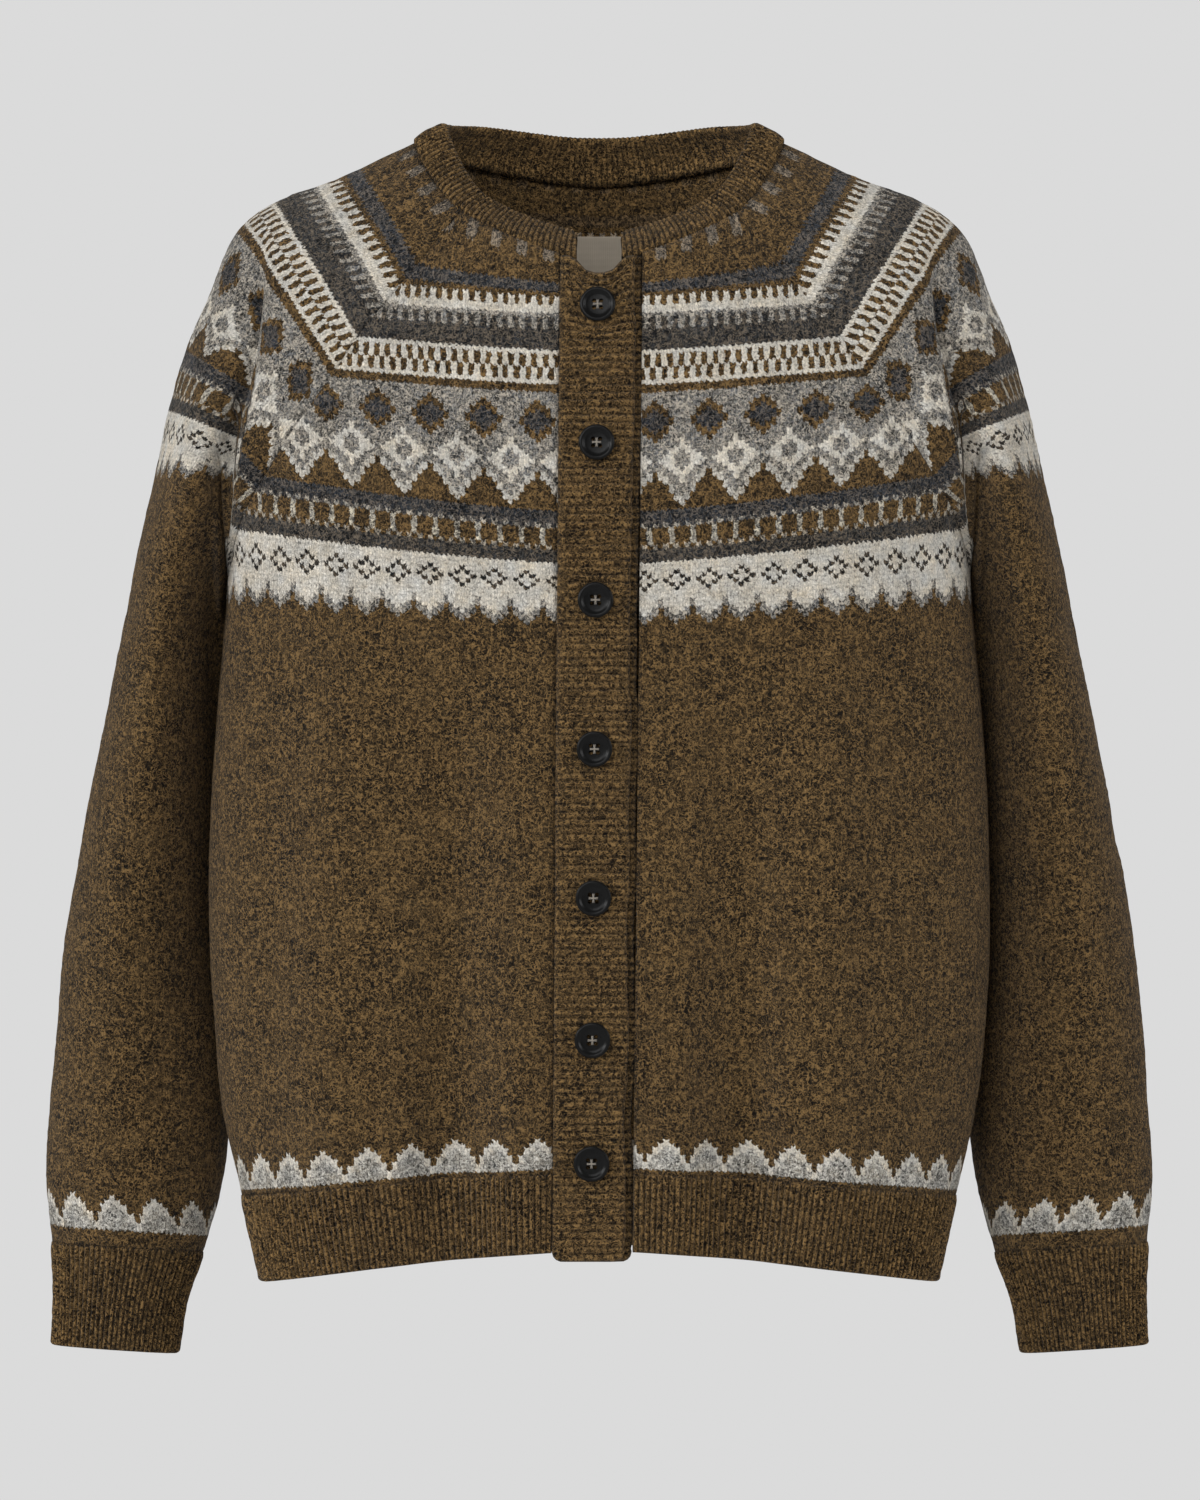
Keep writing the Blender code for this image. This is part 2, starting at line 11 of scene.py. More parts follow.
import bpy
import numpy as np
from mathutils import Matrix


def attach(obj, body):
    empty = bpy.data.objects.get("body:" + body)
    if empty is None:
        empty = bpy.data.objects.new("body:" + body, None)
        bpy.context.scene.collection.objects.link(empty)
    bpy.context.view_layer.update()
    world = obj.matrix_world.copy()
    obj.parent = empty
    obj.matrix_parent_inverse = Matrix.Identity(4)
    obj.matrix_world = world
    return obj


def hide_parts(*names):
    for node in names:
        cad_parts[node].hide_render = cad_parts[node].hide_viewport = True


bl_info = {
    "name": "Colourwork cardigan",
    "version": (1, 0, 0),
    "blender": (4, 5, 0),
    "location": "View3D > Sidebar > Cardigan",
    "description": "A round-necked raglan cardigan with a colourwork yoke, filled out with no wearer",
    "category": "Add Mesh",
}

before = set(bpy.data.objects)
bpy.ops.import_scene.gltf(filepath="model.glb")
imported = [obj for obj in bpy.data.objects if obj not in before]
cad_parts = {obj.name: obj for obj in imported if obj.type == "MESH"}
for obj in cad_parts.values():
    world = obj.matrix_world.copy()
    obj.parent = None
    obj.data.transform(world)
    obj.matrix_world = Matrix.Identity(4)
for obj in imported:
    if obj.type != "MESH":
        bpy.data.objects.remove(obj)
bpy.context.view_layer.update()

MM = 0.001
KNIT_MAP = "knit"  # millimetres across and down the knitting
ROOT = "root"
DENSE = 160  # points along a row before it is divided evenly
TANGENT_STEP = 0.004  # share of a line over which its direction is read
SEAM_LAP = 0.35  # how far the knitting reaches past a seam's line, so that no gap shows

UNDERARM_ROW = 198
HEM_ROW = 557  # top of the hem rib, counted down the side
HEM_END_ROW = 607
CUFF_ROW = 625  # top of the cuff, counted down the sleeve
CUFF_END_ROW = 685
NECK_END_X = 12.8  # the neckband's ends, either side of the bands
NECK_SEAM_LEAN = 0.22  # how far the normals at the neck seam point up
BACK_REACH = 1.08  # a sleeve is a little fuller behind

# The front edges: how far from the middle they are at the neck and at the hem.
FRONT_EDGE = {-1: (23.0, 27.7), 1: (25.4, 19.5)}
BAND_TOP_Z, BAND_END_Z = -61.3, -636
BAND_PROUD = 3.6  # how far the band on top stands out from the fronts
TOP_BAND_LEFT, TOP_BAND_RIGHT = (-22.6, -27.3), (20.9, 15.1)
UNDER_BAND_LEFT, UNDER_BAND_RIGHT = (-13, -20), (25.0, 19.1)
BUTTON_Z = (-86, -165.5, -256, -341.5, -427, -508.5, -579.5)
BUTTON_X_TOP, BUTTON_X_END = -0.9, -4.4

FIRST_ROW = 0.1
PLAIN_STEP, SLEEVE_STEP, RIB_STEP = 3.0, 3.3, 3.0  # about how far apart the mesh's rows are
FRONT_COLUMNS, BACK_COLUMNS, SLEEVE_COLUMNS = 78, 156, 120  # faces along a row
RIB_FACES = 4  # faces across a rib


def table(names, *rows):
    """A small table's columns, by name."""
    return dict(zip(names.split(), np.array(rows, float).T))


# The body, row by row: half its width, the roundness of its outline seen from above (2 is an ellipse),
# how far its front and back stand from the side line, where the raglan or side seam is, and the height
# of the row at the centre front, at the seam in front and behind, and at the centre back.
BODY = table(
    "row   half  round front back  seam_x front_z seam_z back_seam_z back_z",
    (0,    107,  2.0,  74,   75,   80,    -60,    -31,   2,          -10),
    (17,   141,  2.2,  79,   78,   108,   -77,    -66,   -26,        -33),
    (51,   184,  2.3,  87,   84,   137,   -110,   -101,  -66,        -78),
    (71,   204,  2.4,  91,   87,   150,   -130,   -120,  -90,        -103),
    (115,  222,  2.5,  98,   91,   176,   -174,   -157,  -138,       -155),
    (147,  219,  2.6,  101,  93,   193,   -206,   -184,  -172,       -190),
    (169,  216,  2.6,  103,  94,   205,   -228,   -206,  -199,       -215),
    (183,  214.5, 2.6, 103,  94,   211,   -242,   -223,  -219,       -231),
    (192,  214.5, 2.6, 103.5, 94.5, 213.7, -250,  -234,  -232,       -240),
    (198,  215,  2.6,  104,  95,   215,   -256,   -241,  -241,       -246),
    (242,  219,  2.6,  105,  95,   219,   -298,   -285,  -285,       -290),
    (344,  225.5, 2.6, 106,  96,   225.5, -393,   -387,  -387,       -388),
    (432,  225,  2.6,  104,  95,   225,   -473,   -475,  -475,       -472),
    (508,  218,  2.6,  100,  92,   218,   -541,   -551,  -551,       -543),
    (557,  207,  2.6,  96,   90,   207,   -585,   -600,  -600,       -585),
    (607,  195.5, 2.6, 95,   89,   195.5, -630,   -650,  -650,       -631),
)

# The sleeve, row by row: its outer line (shoulder, then the outside of the arm), and below the underarm
# its inner line. Each row bulges in front and behind, as a curve between the seam and the outer line:
# the seam's out, reach and up are how it leaves the seam, and reach, lean and drop how it comes to the
# outer line. Reach is to the front, or mirrored to the back.
SLEEVE = table(
    "row   outer_x outer_y outer_z inner_x inner_y inner_z seam_out seam_reach seam_up reach lean drop",
    (0,    107,    0,      10,     80,     0,      -31,    17.7,    -13.6,     16,     18,   0,   3),
    (17,   141.5,  0,      -7,     109,    0,      -67,    12,      -7,        25,     24,   2,   8),
    (51,   184.4,  0,      -23,    138,    0,      -101,   17,      -6,        30,     34,   3,   6),
    (71,   204.7,  0,      -35,    147,    0,      -119,   20,      -6,        31,     40,   3,   5),
    (115,  228.5,  1,      -82,    176,    0,      -157,   18,      -1,        30,     56,   6,   6),
    (147,  240,    3,      -110,   193,    0,      -184,   14,      12,        38,     62,   10,  8),
    (169,  247.5,  4,      -137,   203,    0,      -206,   7,       35,        56,     66,   11,  8),
    (183,  251.5,  5,      -152,   211,    0,      -223,   4,       53,        62,     68,   11,  8),
    (198,  255,    6,      -168,   215,    0,      -241,   2,       83,        66,     71,   10,  8),
    (247,  266.8,  12,     -221,   216.2,  28,     -285,   12,      84,        35,     77,   4,   8),
    (340,  286.5,  24,     -322,   220.2,  34,     -370,   17,      80,        15,     76,   0,   8),
    (438,  307,    34,     -429,   221,    38,     -460,   15,      72,        8,      70,   0,   6),
    (527,  317.5,  38,     -522,   215.5,  41,     -543,   9,       62,        5,      63,   0,   4),
    (592,  321.3,  38,     -593,   221,    38,     -603,   0,       55,        2,      55,   0,   2),
    (625,  318,    36,     -628,   231,    36,     -634,   0,       45,        1,      45,   0,   1),
    (655,  316.5,  35,     -657,   241,    35,     -662,   0,       38,        0,      38,   0,   0),
    (685,  318,    34,     -688,   246,    34,     -693,   0,       34,        0,      34,   0,   0),
)
# The neckband's top edge against its seam: how far in, and how far up, from centre front to centre back.
NECKBAND = table(
    "turn  narrower shallower rise",
    (0.00, 0.86,    0.74,     16),
    (0.25, 0.83,    0.76,     11),
    (0.50, 0.825,   1.00,     12),
    (0.75, 0.83,    0.84,     21),
    (1.00, 0.83,    0.84,     26),
)

# Soft folds that hang from the chest and deepen to the hem: where each starts and ends across the
# front or back, how far it stands out (in, if negative) at the hem, its half width, and its top.
FOLDS = table(
    "side  top_x end_x depth width top_z",
    (-1,   -150, -157, 5,    26,   -300),
    (-1,   -90,  -86,  -8,   27,   -280),
    (-1,   -45,  -42,  4,    20,   -380),
    (-1,   40,   44,   4,    20,   -360),
    (-1,   95,   80,   -8,   25,   -300),
    (-1,   140,  135,  5,    26,   -290),
    (1,    -120, -128, -7,   28,   -300),
    (1,    -55,  -60,  6,    30,   -250),
    (1,    10,   16,   -8,   28,   -280),
    (1,    75,   82,   6,    26,   -320),
    (1,    130,  140,  -6,   26,   -270),
)

# The crease in front of the arm, where the sleeve folds back behind the body's front: where it crosses
# each row, how far back the arm's side of it lies, how deep the crease is beside that, and how much
# higher the row goes on beyond it.
CREASE = table(
    "row  x      step  depth slip",
    (60,  187,   0,    0,    0),
    (78,  189,   4,    3,    2),
    (93,  191,   10,   6,    7),
    (115, 195,   15,   8,    16),
    (131, 198.5, 17,   8,    22),
    (147, 202,   17,   8,    28),
    (165, 205.5, 15,   7,    34),
    (183, 209,   10,   5,    38),
    (198, 213,   4,    0,    34),
    (222, 217,   0,    0,    26),
    (247, 217,   0,    0,    18),
    (290, 218,   0,    0,    8),
    (340, 219,   0,    0,    0),
)
CREASE_RISE, CREASE_WIDTH = 9, 7  # over how much of the width the step rises, and the trough's half width
CREASE_FADE = 0.7  # how late the step fades out towards the outer line

FOLD_END_Z = -640  # where a fold is deepest
FOLD_GROWTH = 1.3  # how late on its way down a fold deepens
FOLD_FADE = 4  # how close to the sides the folds reach
ROW_SAG = 1.5  # how late a row leaves the height of the centre on its way to the seam


def curve(keys, values, at):
    """A smooth curve through the points (key, value), read at some keys."""
    slopes = np.gradient(values, keys)
    i = np.clip(np.searchsorted(keys, at) - 1, 0, len(keys) - 2)
    span = keys[i + 1] - keys[i]
    t = np.clip((at - keys[i]) / span, 0, 1)
    return (
        values[i] * (1 + 2 * t) * (1 - t) ** 2
        + values[i + 1] * t**2 * (3 - 2 * t)
        + span * (slopes[i] * t * (1 - t) ** 2 - slopes[i + 1] * t**2 * (1 - t))
    )


def smoothly(share):
    """Smoothly from 0 to 1 as share goes from 0 to 1."""
    share = np.clip(share, 0, 1)
    return share**2 * (3 - 2 * share)


def rising(value, start, width):
    """0 up to start, then smoothly up to 1 over a width, or the other way round if it is negative."""
    return smoothly((value - start) / width)


def at_row(columns, row):
    """Every column of a table, read at one row of knitting."""
    keys = columns["row"]
    return {name: float(curve(keys, values, row)) for name, values in columns.items()}


def evenly(points, shares):
    """Points at the given shares of a line's length."""
    steps = np.linalg.norm(np.diff(points, axis=0), axis=1)
    along = np.concatenate([[0], np.cumsum(steps)])
    wanted = np.asarray(shares) * along[-1]
    return np.stack([np.interp(wanted, along, points[:, k]) for k in range(3)], axis=1)


def divided(line, shares):
    """Points at shares of a line's length, and the line's direction at each."""
    ahead = evenly(line, np.clip(shares + TANGENT_STEP, 0, 1))
    behind = evenly(line, np.clip(shares - TANGENT_STEP, 0, 1))
    direction = ahead - behind
    return evenly(line, shares), direction / np.linalg.norm(direction, axis=1, keepdims=True)


def fold_depth(x, z, side):
    """How far the folds of the front (side -1) or the back (side 1) stand out at a place."""
    total = np.zeros_like(x)
    for at, top_x, end_x, depth, width, top_z in zip(*FOLDS.values()):
        if at == side:
            down = np.clip((top_z - z) / (top_z - FOLD_END_Z), 0, 1)
            centre = top_x + (end_x - top_x) * down
            total += depth * down**FOLD_GROWTH * np.exp(-(((x - centre) / width) ** 2))
    return total


def body_half(row, side, hand, start_x=0.0):
    """One row from near the centre to the raglan or side seam, in front (side -1) or behind (1)."""
    b = at_row(BODY, row)
    names = ("front", "front_z", "seam_z") if side < 0 else ("back", "back_z", "back_seam_z")
    depth, centre_z, seam_z = (b[name] for name in names)
    seam_share = min(b["seam_x"] / b["half"], 1)
    first, last = (math.asin(share ** (b["round"] / 2)) for share in (start_x / b["half"], seam_share))
    turn = np.linspace(first, last, DENSE)
    x = b["half"] * np.sin(turn) ** (2 / b["round"])
    out = depth * np.abs(np.cos(turn)) ** (2 / b["round"])
    z = centre_z + (seam_z - centre_z) * (x / (b["half"] * seam_share)) ** ROW_SAG
    out += fold_depth(hand * x, z, side) * (1 - (x / b["half"]) ** FOLD_FADE)
    return np.stack([hand * x, side * out, z], axis=1)


def seam_point(row, side):
    """Where the raglan seam, or below it the sleeve's inner line, crosses a row, on the wearer's left."""
    if row <= UNDERARM_ROW:
        return body_half(row, side, 1)[-1]
    s = at_row(SLEEVE, row)
    return np.array([s["inner_x"], s["inner_y"], s["inner_z"]])


def bezier(points):
    """A curve from the first of four points to the last, drawn towards the two between."""
    t = np.linspace(0, 1, DENSE)[:, None]
    a, b, c, d = (np.asarray(p, float) for p in points)
    return a * (1 - t) ** 3 + 3 * b * t * (1 - t) ** 2 + 3 * c * t**2 * (1 - t) + d * t**3


def sleeve_half(row, side):
    """One row of a sleeve from its seam or inner line to its outer line, on the wearer's left."""
    s = at_row(SLEEVE, row)
    seam = seam_point(row, side)
    outer = np.array([s["outer_x"], s["outer_y"], s["outer_z"]])
    fuller = BACK_REACH if side > 0 else 1
    climb = s["seam_up"] * (outer[2] - seam[2]) / max(outer[2] - s["inner_z"], 1)
    leave = seam + (s["seam_out"], side * fuller * s["seam_reach"], climb)
    arrive = outer + (-s["lean"], side * fuller * s["reach"], -s["drop"])
    points = bezier((seam, leave, arrive, outer))
    if side < 0 and row < CREASE["row"][-1]:
        c = at_row(CREASE, max(row, CREASE["row"][0]))
        from_crease = points[:, 0] - c["x"]
        rise = smoothly(from_crease / CREASE_RISE)
        left = np.clip((s["outer_x"] - points[:, 0]) / (s["outer_x"] - c["x"]), 0, 1)
        trough = np.exp(-(((from_crease - CREASE_RISE / 2) / CREASE_WIDTH) ** 2))
        clear = rising(points[:, 0], seam[0], CREASE_WIDTH)  # nothing moves at the seam itself
        points[:, 1] += (rise * left**CREASE_FADE * c["step"] + trough * c["depth"]) * clear
        points[:, 2] += rise * left * c["slip"] * clear
    return points


def outward(grid, around):
    """Unit normals of a grid of points, away from the middle of each row.

    around holds the direction along the row at each point.
    """
    normal = np.cross(around, np.gradient(grid, axis=0))
    normal /= np.linalg.norm(normal, axis=2, keepdims=True)
    away = grid - grid.mean(axis=1, keepdims=True)
    return normal * np.sign((normal * away).sum())


# Small creases that the knitting holds beside the main folds: a line from its start to its end, how wide
# it is, and how far it stands out (in, if negative). Side is -1 in front and 1 behind.
CREASES = table(
    "side from_x from_z to_x  to_z  width depth",
    (-1, -204,  -250,   -150,  -322,  14, -1.6),
    (-1, 200,   -262,   152,   -314,  13, -1.5),
    (-1, -286,  -250,   -240,  -300,  13, -1.6),
    (-1, -300,  -380,   -262,  -408,  14, -1.3),
    (-1, -312,  -470,   -270,  -452,  15, 1.4),
    (-1, 282,   -262,   238,   -306,  13, -1.5),
    (-1, 303,   -392,   260,   -414,  15, -1.4),
    (-1, 312,   -486,   268,   -462,  14, 1.2),
    (-1, -82,   -310,   -88,   -640,  23, -8.0),
    (-1, -150,  -290,   -160,  -640,  24, 5.0),
    (-1, 78,    -310,   84,    -640,  23, -8.0),
    (-1, 128,   -300,   138,   -640,  24, 5.0),
    (-1, -40,   -360,   -44,   -640,  17, 3.0),
    (-1, 42,    -400,   46,    -640,  15, 2.6),
    (-1, -112,  -440,   -118,  -640,  11, 2.2),
    (-1, 108,   -420,   104,   -640,  10, 1.8),
    (-1, -186,  -300,   -190,  -600,  13, -1.8),
    (-1, -120,  -520,   -128,  -600,  10, -1.2),
    (-1, 62,    -500,   66,    -606,  11, -1.3),
    (-1, 178,   -470,   170,   -604,  13, 1.4),
    (1,  -226,  -200,   -180,  -290,  13, -2.0),
    (1,  224,   -206,   176,   -300,  14, -2.2),
    (1,  -205,  -262,   -120,  -330,  16, -1.5),
    (1,  202,   -270,   118,   -344,  17, -1.6),
    (1,  -300,  -400,   -256,  -430,  15, -1.4),
    (1,  304,   -384,   258,   -420,  14, -1.5),
    (1,  -32,   -500,   -26,   -610,  14, 1.3),
    (1,  -112,  -300,   -122,  -612,  27, -3.2),
    (1,  -66,   -320,   -70,   -612,  22, 2.4),
    (1,  96,    -310,   108,   -612,  26, -3.0),
    (1,  150,   -290,   158,   -612,  22, 2.6),
    (1,  168,   -480,   176,   -600,  12, -1.3),
)


CREASE_ENDS, CREASE_END = 3, 0.4  # how fast a small crease fades at its ends, and what is left of it there
ARM_X, ARM_MIDDLE_Y = 225, 20  # from where a place is on an arm, and where the arm's front and back part
BESIDE_X, BESIDE_HALF, BESIDE_FADE = 218, 2, 8  # where the sleeve lies beside the body, with no creases
LUMP_SIZE, GRAIN_SIZE = 46.0, 3.3  # of the broad unevenness, and of single stitches
LATTICE = 24


def lattice(seed):
    """Random heights on a grid, the same at each run."""
    return np.random.default_rng(seed).random((LATTICE,) * 3)


def softly_random(points, size, heights):
    """Smooth noise from -1 to 1 at places in space, with lumps of a given size."""
    cells = np.floor(points / size).astype(int)
    t = points / size - cells
    t = t * t * (3 - 2 * t)
    total = np.zeros(points.shape[:-1])
    for corner in np.ndindex(2, 2, 2):
        weight = np.prod(np.where(corner, t, 1 - t), axis=-1)
        i, j, k = np.moveaxis((cells + corner) % LATTICE, -1, 0)
        total += weight * heights[i, j, k]
    return 2 * total - 1


COARSE, FINE = lattice(11), lattice(12)


def creased(points):
    """How far the small creases move the knitting at some places."""
    x, y, z = np.moveaxis(points, -1, 0)
    total = np.zeros_like(x)
    at = np.sign(y - ARM_MIDDLE_Y * (abs(x) > ARM_X))
    for side, from_x, from_z, to_x, to_z, width, depth in zip(*CREASES.values()):
        way = np.array([to_x - from_x, to_z - from_z])
        length = np.hypot(*way)
        way = way / length
        along = ((x - from_x) * way[0] + (z - from_z) * way[1]) / length
        across = (x - from_x) * way[1] - (z - from_z) * way[0]
        ends = smoothly(np.minimum(along, 1 - along) * CREASE_ENDS + CREASE_END)
        total += depth * np.exp(-((across / width) ** 2)) * ends * (at == side)
    return total * rising(abs(abs(x) - BESIDE_X), BESIDE_HALF, BESIDE_FADE)


def uneven(points, sizes):
    """How far creases and the unevenness of hand knitting move it at some places."""
    lumps = softly_random(points, LUMP_SIZE, COARSE) * sizes.lumps
    grain = softly_random(points, GRAIN_SIZE, FINE) * sizes.grain
    return creased(points) + (lumps + grain) / MM


def near_edge(distance, radius, least=0.12):
    """The share of a wall's thickness left at a distance from its rounded edge."""
    t = np.clip(distance / radius, 0, 1)
    return np.maximum(np.sqrt(1 - (1 - t) ** 2), least)


def rows_between(first, last, step):
    return list(np.linspace(first, last, round((last - first) / step) + 1))


def rows_to_edge(first, last, steps=(1.9, 0.9, 0.3, 0)):
    """Rows down to a free edge, with a few close to it for its rounding."""
    kept = [row for row in rows_between(first, last, RIB_STEP) if row < last - steps[0] - 0.5]
    return np.array(kept + [last - step for step in steps])


def add_object(name, points, faces, looks):
    """A mesh of points in millimetres, with its materials."""
    mesh = bpy.data.meshes.new(name)
    mesh.from_pydata((np.asarray(points) * MM).tolist(), [], faces)
    for material in looks:
        mesh.materials.append(material)
    made = bpy.data.objects.new(name, mesh)
    bpy.context.scene.collection.objects.link(made)
    return made


def add_shell(name, outer, inner, places, looks, closed_from=None):
    """A closed wall of two grids, joined round its edges, with a map of where each point is knitted.

    places holds (across, down) for each point. closed_from is the row from which the first and last
    columns are one line, as on a tube. looks are the materials of the outside and the inside.
    """
    rows, columns = outer.shape[:2]
    closed_from = rows if closed_from is None else closed_from
    count = rows * columns
    spots = np.arange(count).reshape(rows, columns)  # where a corner reads the map
    ids = spots.copy()
    ids[closed_from:, -1] = ids[closed_from:, 0]

    def quads(grid):
        corners = (grid[:-1, :-1], grid[1:, :-1], grid[1:, 1:], grid[:-1, 1:])
        return np.stack(corners, axis=-1).reshape(-1, 4)

    open_rows = slice(0, closed_from + 1)
    edges = [(0, slice(None), False), (-1, slice(None), True), (open_rows, 0, True), (open_rows, -1, False)]
    corners, read = [quads(ids), quads(ids)[:, ::-1] + count], [quads(spots), quads(spots)[:, ::-1]]
    for row, column, turned in edges:
        line, spot = ids[row, column], spots[row, column]
        if len(line) < 2 or (closed_from == 0 and isinstance(row, slice)):
            continue
        face = np.stack([line[:-1], line[1:], line[1:] + count, line[:-1] + count], axis=-1)
        seen = np.stack([spot[:-1], spot[1:], spot[1:], spot[:-1]], axis=-1)
        corners.append(face[:, ::-1] if turned else face)
        read.append(seen[:, ::-1] if turned else seen)
    quad_count = len(corners[0])
    corners, read = np.concatenate(corners), np.concatenate(read)
    points = np.concatenate([outer.reshape(-1, 3), inner.reshape(-1, 3)])
    used, numbers = np.unique(corners, return_inverse=True)
    points, corners = points[used], numbers.reshape(corners.shape)
    if volume_of(points, corners) < 0:
        corners, read = corners[:, ::-1], read[:, ::-1]
    made = add_object(name, points, corners.tolist(), looks)
    mesh = made.data
    layer = mesh.uv_layers.new(name=KNIT_MAP)
    layer.uv.foreach_set("vector", places.reshape(-1, 2)[read.ravel()].astype(np.float32).ravel())
    inside = np.zeros(len(corners), np.int32)
    inside[quad_count : 2 * quad_count] = len(looks) - 1
    mesh.polygons.foreach_set("material_index", inside)
    mesh.shade_smooth()
    return made


def volume_of(points, quads):
    """Six times a mesh's volume, which is negative if its faces point inwards."""
    halves = np.concatenate([quads[:, [0, 1, 2]], quads[:, [0, 2, 3]]])
    return np.linalg.det(points[halves]).sum()


def grid_of(rows, line_at):
    """Points, outward normals and distances along the rows, from a function that gives one row."""
    lines = [line_at(row) for row in rows]
    grid, around, along = (np.array(part) for part in zip(*lines))
    return grid, outward(grid, around), along


def extended(line):
    """A line with its first and last points moved on past its ends, to close the seam there."""
    line = line.copy()
    for end, beside in ((0, 1), (-1, -2)):
        way = line[end] - line[beside]
        line[end] += way / max(np.linalg.norm(way), 0.01) * SEAM_LAP
    return line


def front_line(row, hand, columns):
    """One row of a front panel, from the band's edge to the raglan or side seam."""
    top, end = FRONT_EDGE[hand]
    start = top + (end - top) * min(row / HEM_END_ROW, 1)
    line = body_half(row, -1, hand, start)
    points, way = divided(extended(line), np.linspace(0, 1, columns + 1))
    return points, way, hand * (start + np.linspace(0, length_of(line), columns + 1))


def back_line(row, hand, columns):
    """One row of the back, from seam to seam."""
    line = np.concatenate([body_half(row, 1, -1)[::-1], body_half(row, 1, 1)[1:]])
    points, way = divided(extended(line), np.linspace(0, 1, columns + 1))
    return points, way, np.linspace(-0.5, 0.5, columns + 1) * length_of(line)


# The sleeve stands off the body a little from some rows above the underarm. Below the underarm its back
# is drawn in behind the body, so that no light shows there: between two rows, from a depth and up to a
# width. Each of these is a start and the distance over which it comes in, or fades out if it is negative.
STAND_OFF, STAND_OFF_ROW = 0.2, UNDERARM_ROW - 60
DRAWN_IN, DRAWN_IN_FROM, DRAWN_IN_TO = 1.6, (UNDERARM_ROW, 8), (300, -30)
DRAWN_IN_Y, DRAWN_IN_X = (4, 10), (226, -6)


def sleeve_line(row, hand, columns):
    """One row of a sleeve: from the front seam over the outer line to the back seam."""
    shares = np.linspace(0, 1, columns // 2 + 1)
    front, back = sleeve_half(row, -1), sleeve_half(row, 1)[::-1]
    ahead, ahead_way = divided(front, shares)
    behind, behind_way = divided(back, shares)
    along = np.concatenate([(shares - 1) * length_of(front), shares[1:] * length_of(back)])
    line = np.concatenate([ahead, behind[1:]]) * (hand, 1, 1)
    line[:, 0] += hand * STAND_OFF * (row > STAND_OFF_ROW)
    under = rising(row, *DRAWN_IN_FROM) * rising(row, *DRAWN_IN_TO)
    behind_body = rising(line[:, 1], *DRAWN_IN_Y) * rising(abs(line[:, 0]), *DRAWN_IN_X)
    line[:, 0] -= hand * DRAWN_IN * under * behind_body
    way = np.concatenate([ahead_way, behind_way[1:]])
    return line, way * (hand, 1, 1), along


# How the rows of a sleeve's front lie beside its crease: how steeply they rise from the raglan seam to
# the crease, and how high they come out from behind it.
TURNED = table(
    "row  slope crease_z",
    (60,  1.4,  -60),
    (91,  1.5,  -86),
    (113, 1.6,  -111),
    (148, 1.1,  -134.5),
    (170, 0.9,  -157),
    (198, 0.3,  -176),
    (216, 0.0,  -187.5),
    (260, 0.0,  -236),
    (300, 0.0,  -296),
    (345, 0.0,  -372),
)
TURNED_STEP = 3.0  # how far apart the rows are at which it is worked out
TURNED_FROM, TURNED_TO = (72, 22), (335, -60)  # the row where it starts or ends, and how many rows it takes
# How the cloth turns under itself there. Counted outwards from the crease: where that fades in and out,
# and where the turn is, each with the width that it takes. It also fades in over a width at the seam.
TUCK_IN, TUCK_OUT, TUCK_SEAM = (-10, 8), (26, -16), 7
TUCK_FROM, TUCK_WIDTH = 1, 7
TUCK_OVER, TUCK_UNDER = 3, 8  # how far the fold stands over the arm, and how far the arm goes under it
TUCK_STEP = 15  # how deep the crease's step is where the cloth turns under fully


def tucked(grid, normals, rows, hand):
    """A sleeve whose cloth folds under itself at the crease in front of the arm, and its normals."""
    half = grid.shape[1] // 2 + 1
    across = grid[:, :half, 0] * hand
    keys = np.clip(rows, CREASE["row"][0], CREASE["row"][-1])
    crease_x, step = (curve(CREASE["row"], CREASE[name], keys)[:, None] for name in ("x", "step"))
    past = across - crease_x
    beside = rising(across, across[:, :1], TUCK_SEAM) * rising(past, *TUCK_IN) * rising(past, *TUCK_OUT)
    share = beside * np.clip(step / TUCK_STEP, 0, 1)
    under = (TUCK_OVER + TUCK_UNDER) * rising(past, TUCK_FROM, TUCK_WIDTH)
    moved = grid.copy()
    moved[:, :half, 0] += hand * share * (TUCK_OVER - under)
    turned = outward(moved, np.gradient(moved, axis=1))
    normals = normals.copy()
    mix = smoothly(share * 5)[..., None]
    normals[:, :half] = normals[:, :half] * (1 - mix) + turned[:, :half] * mix
    return moved, normals / np.linalg.norm(normals, axis=2, keepdims=True)


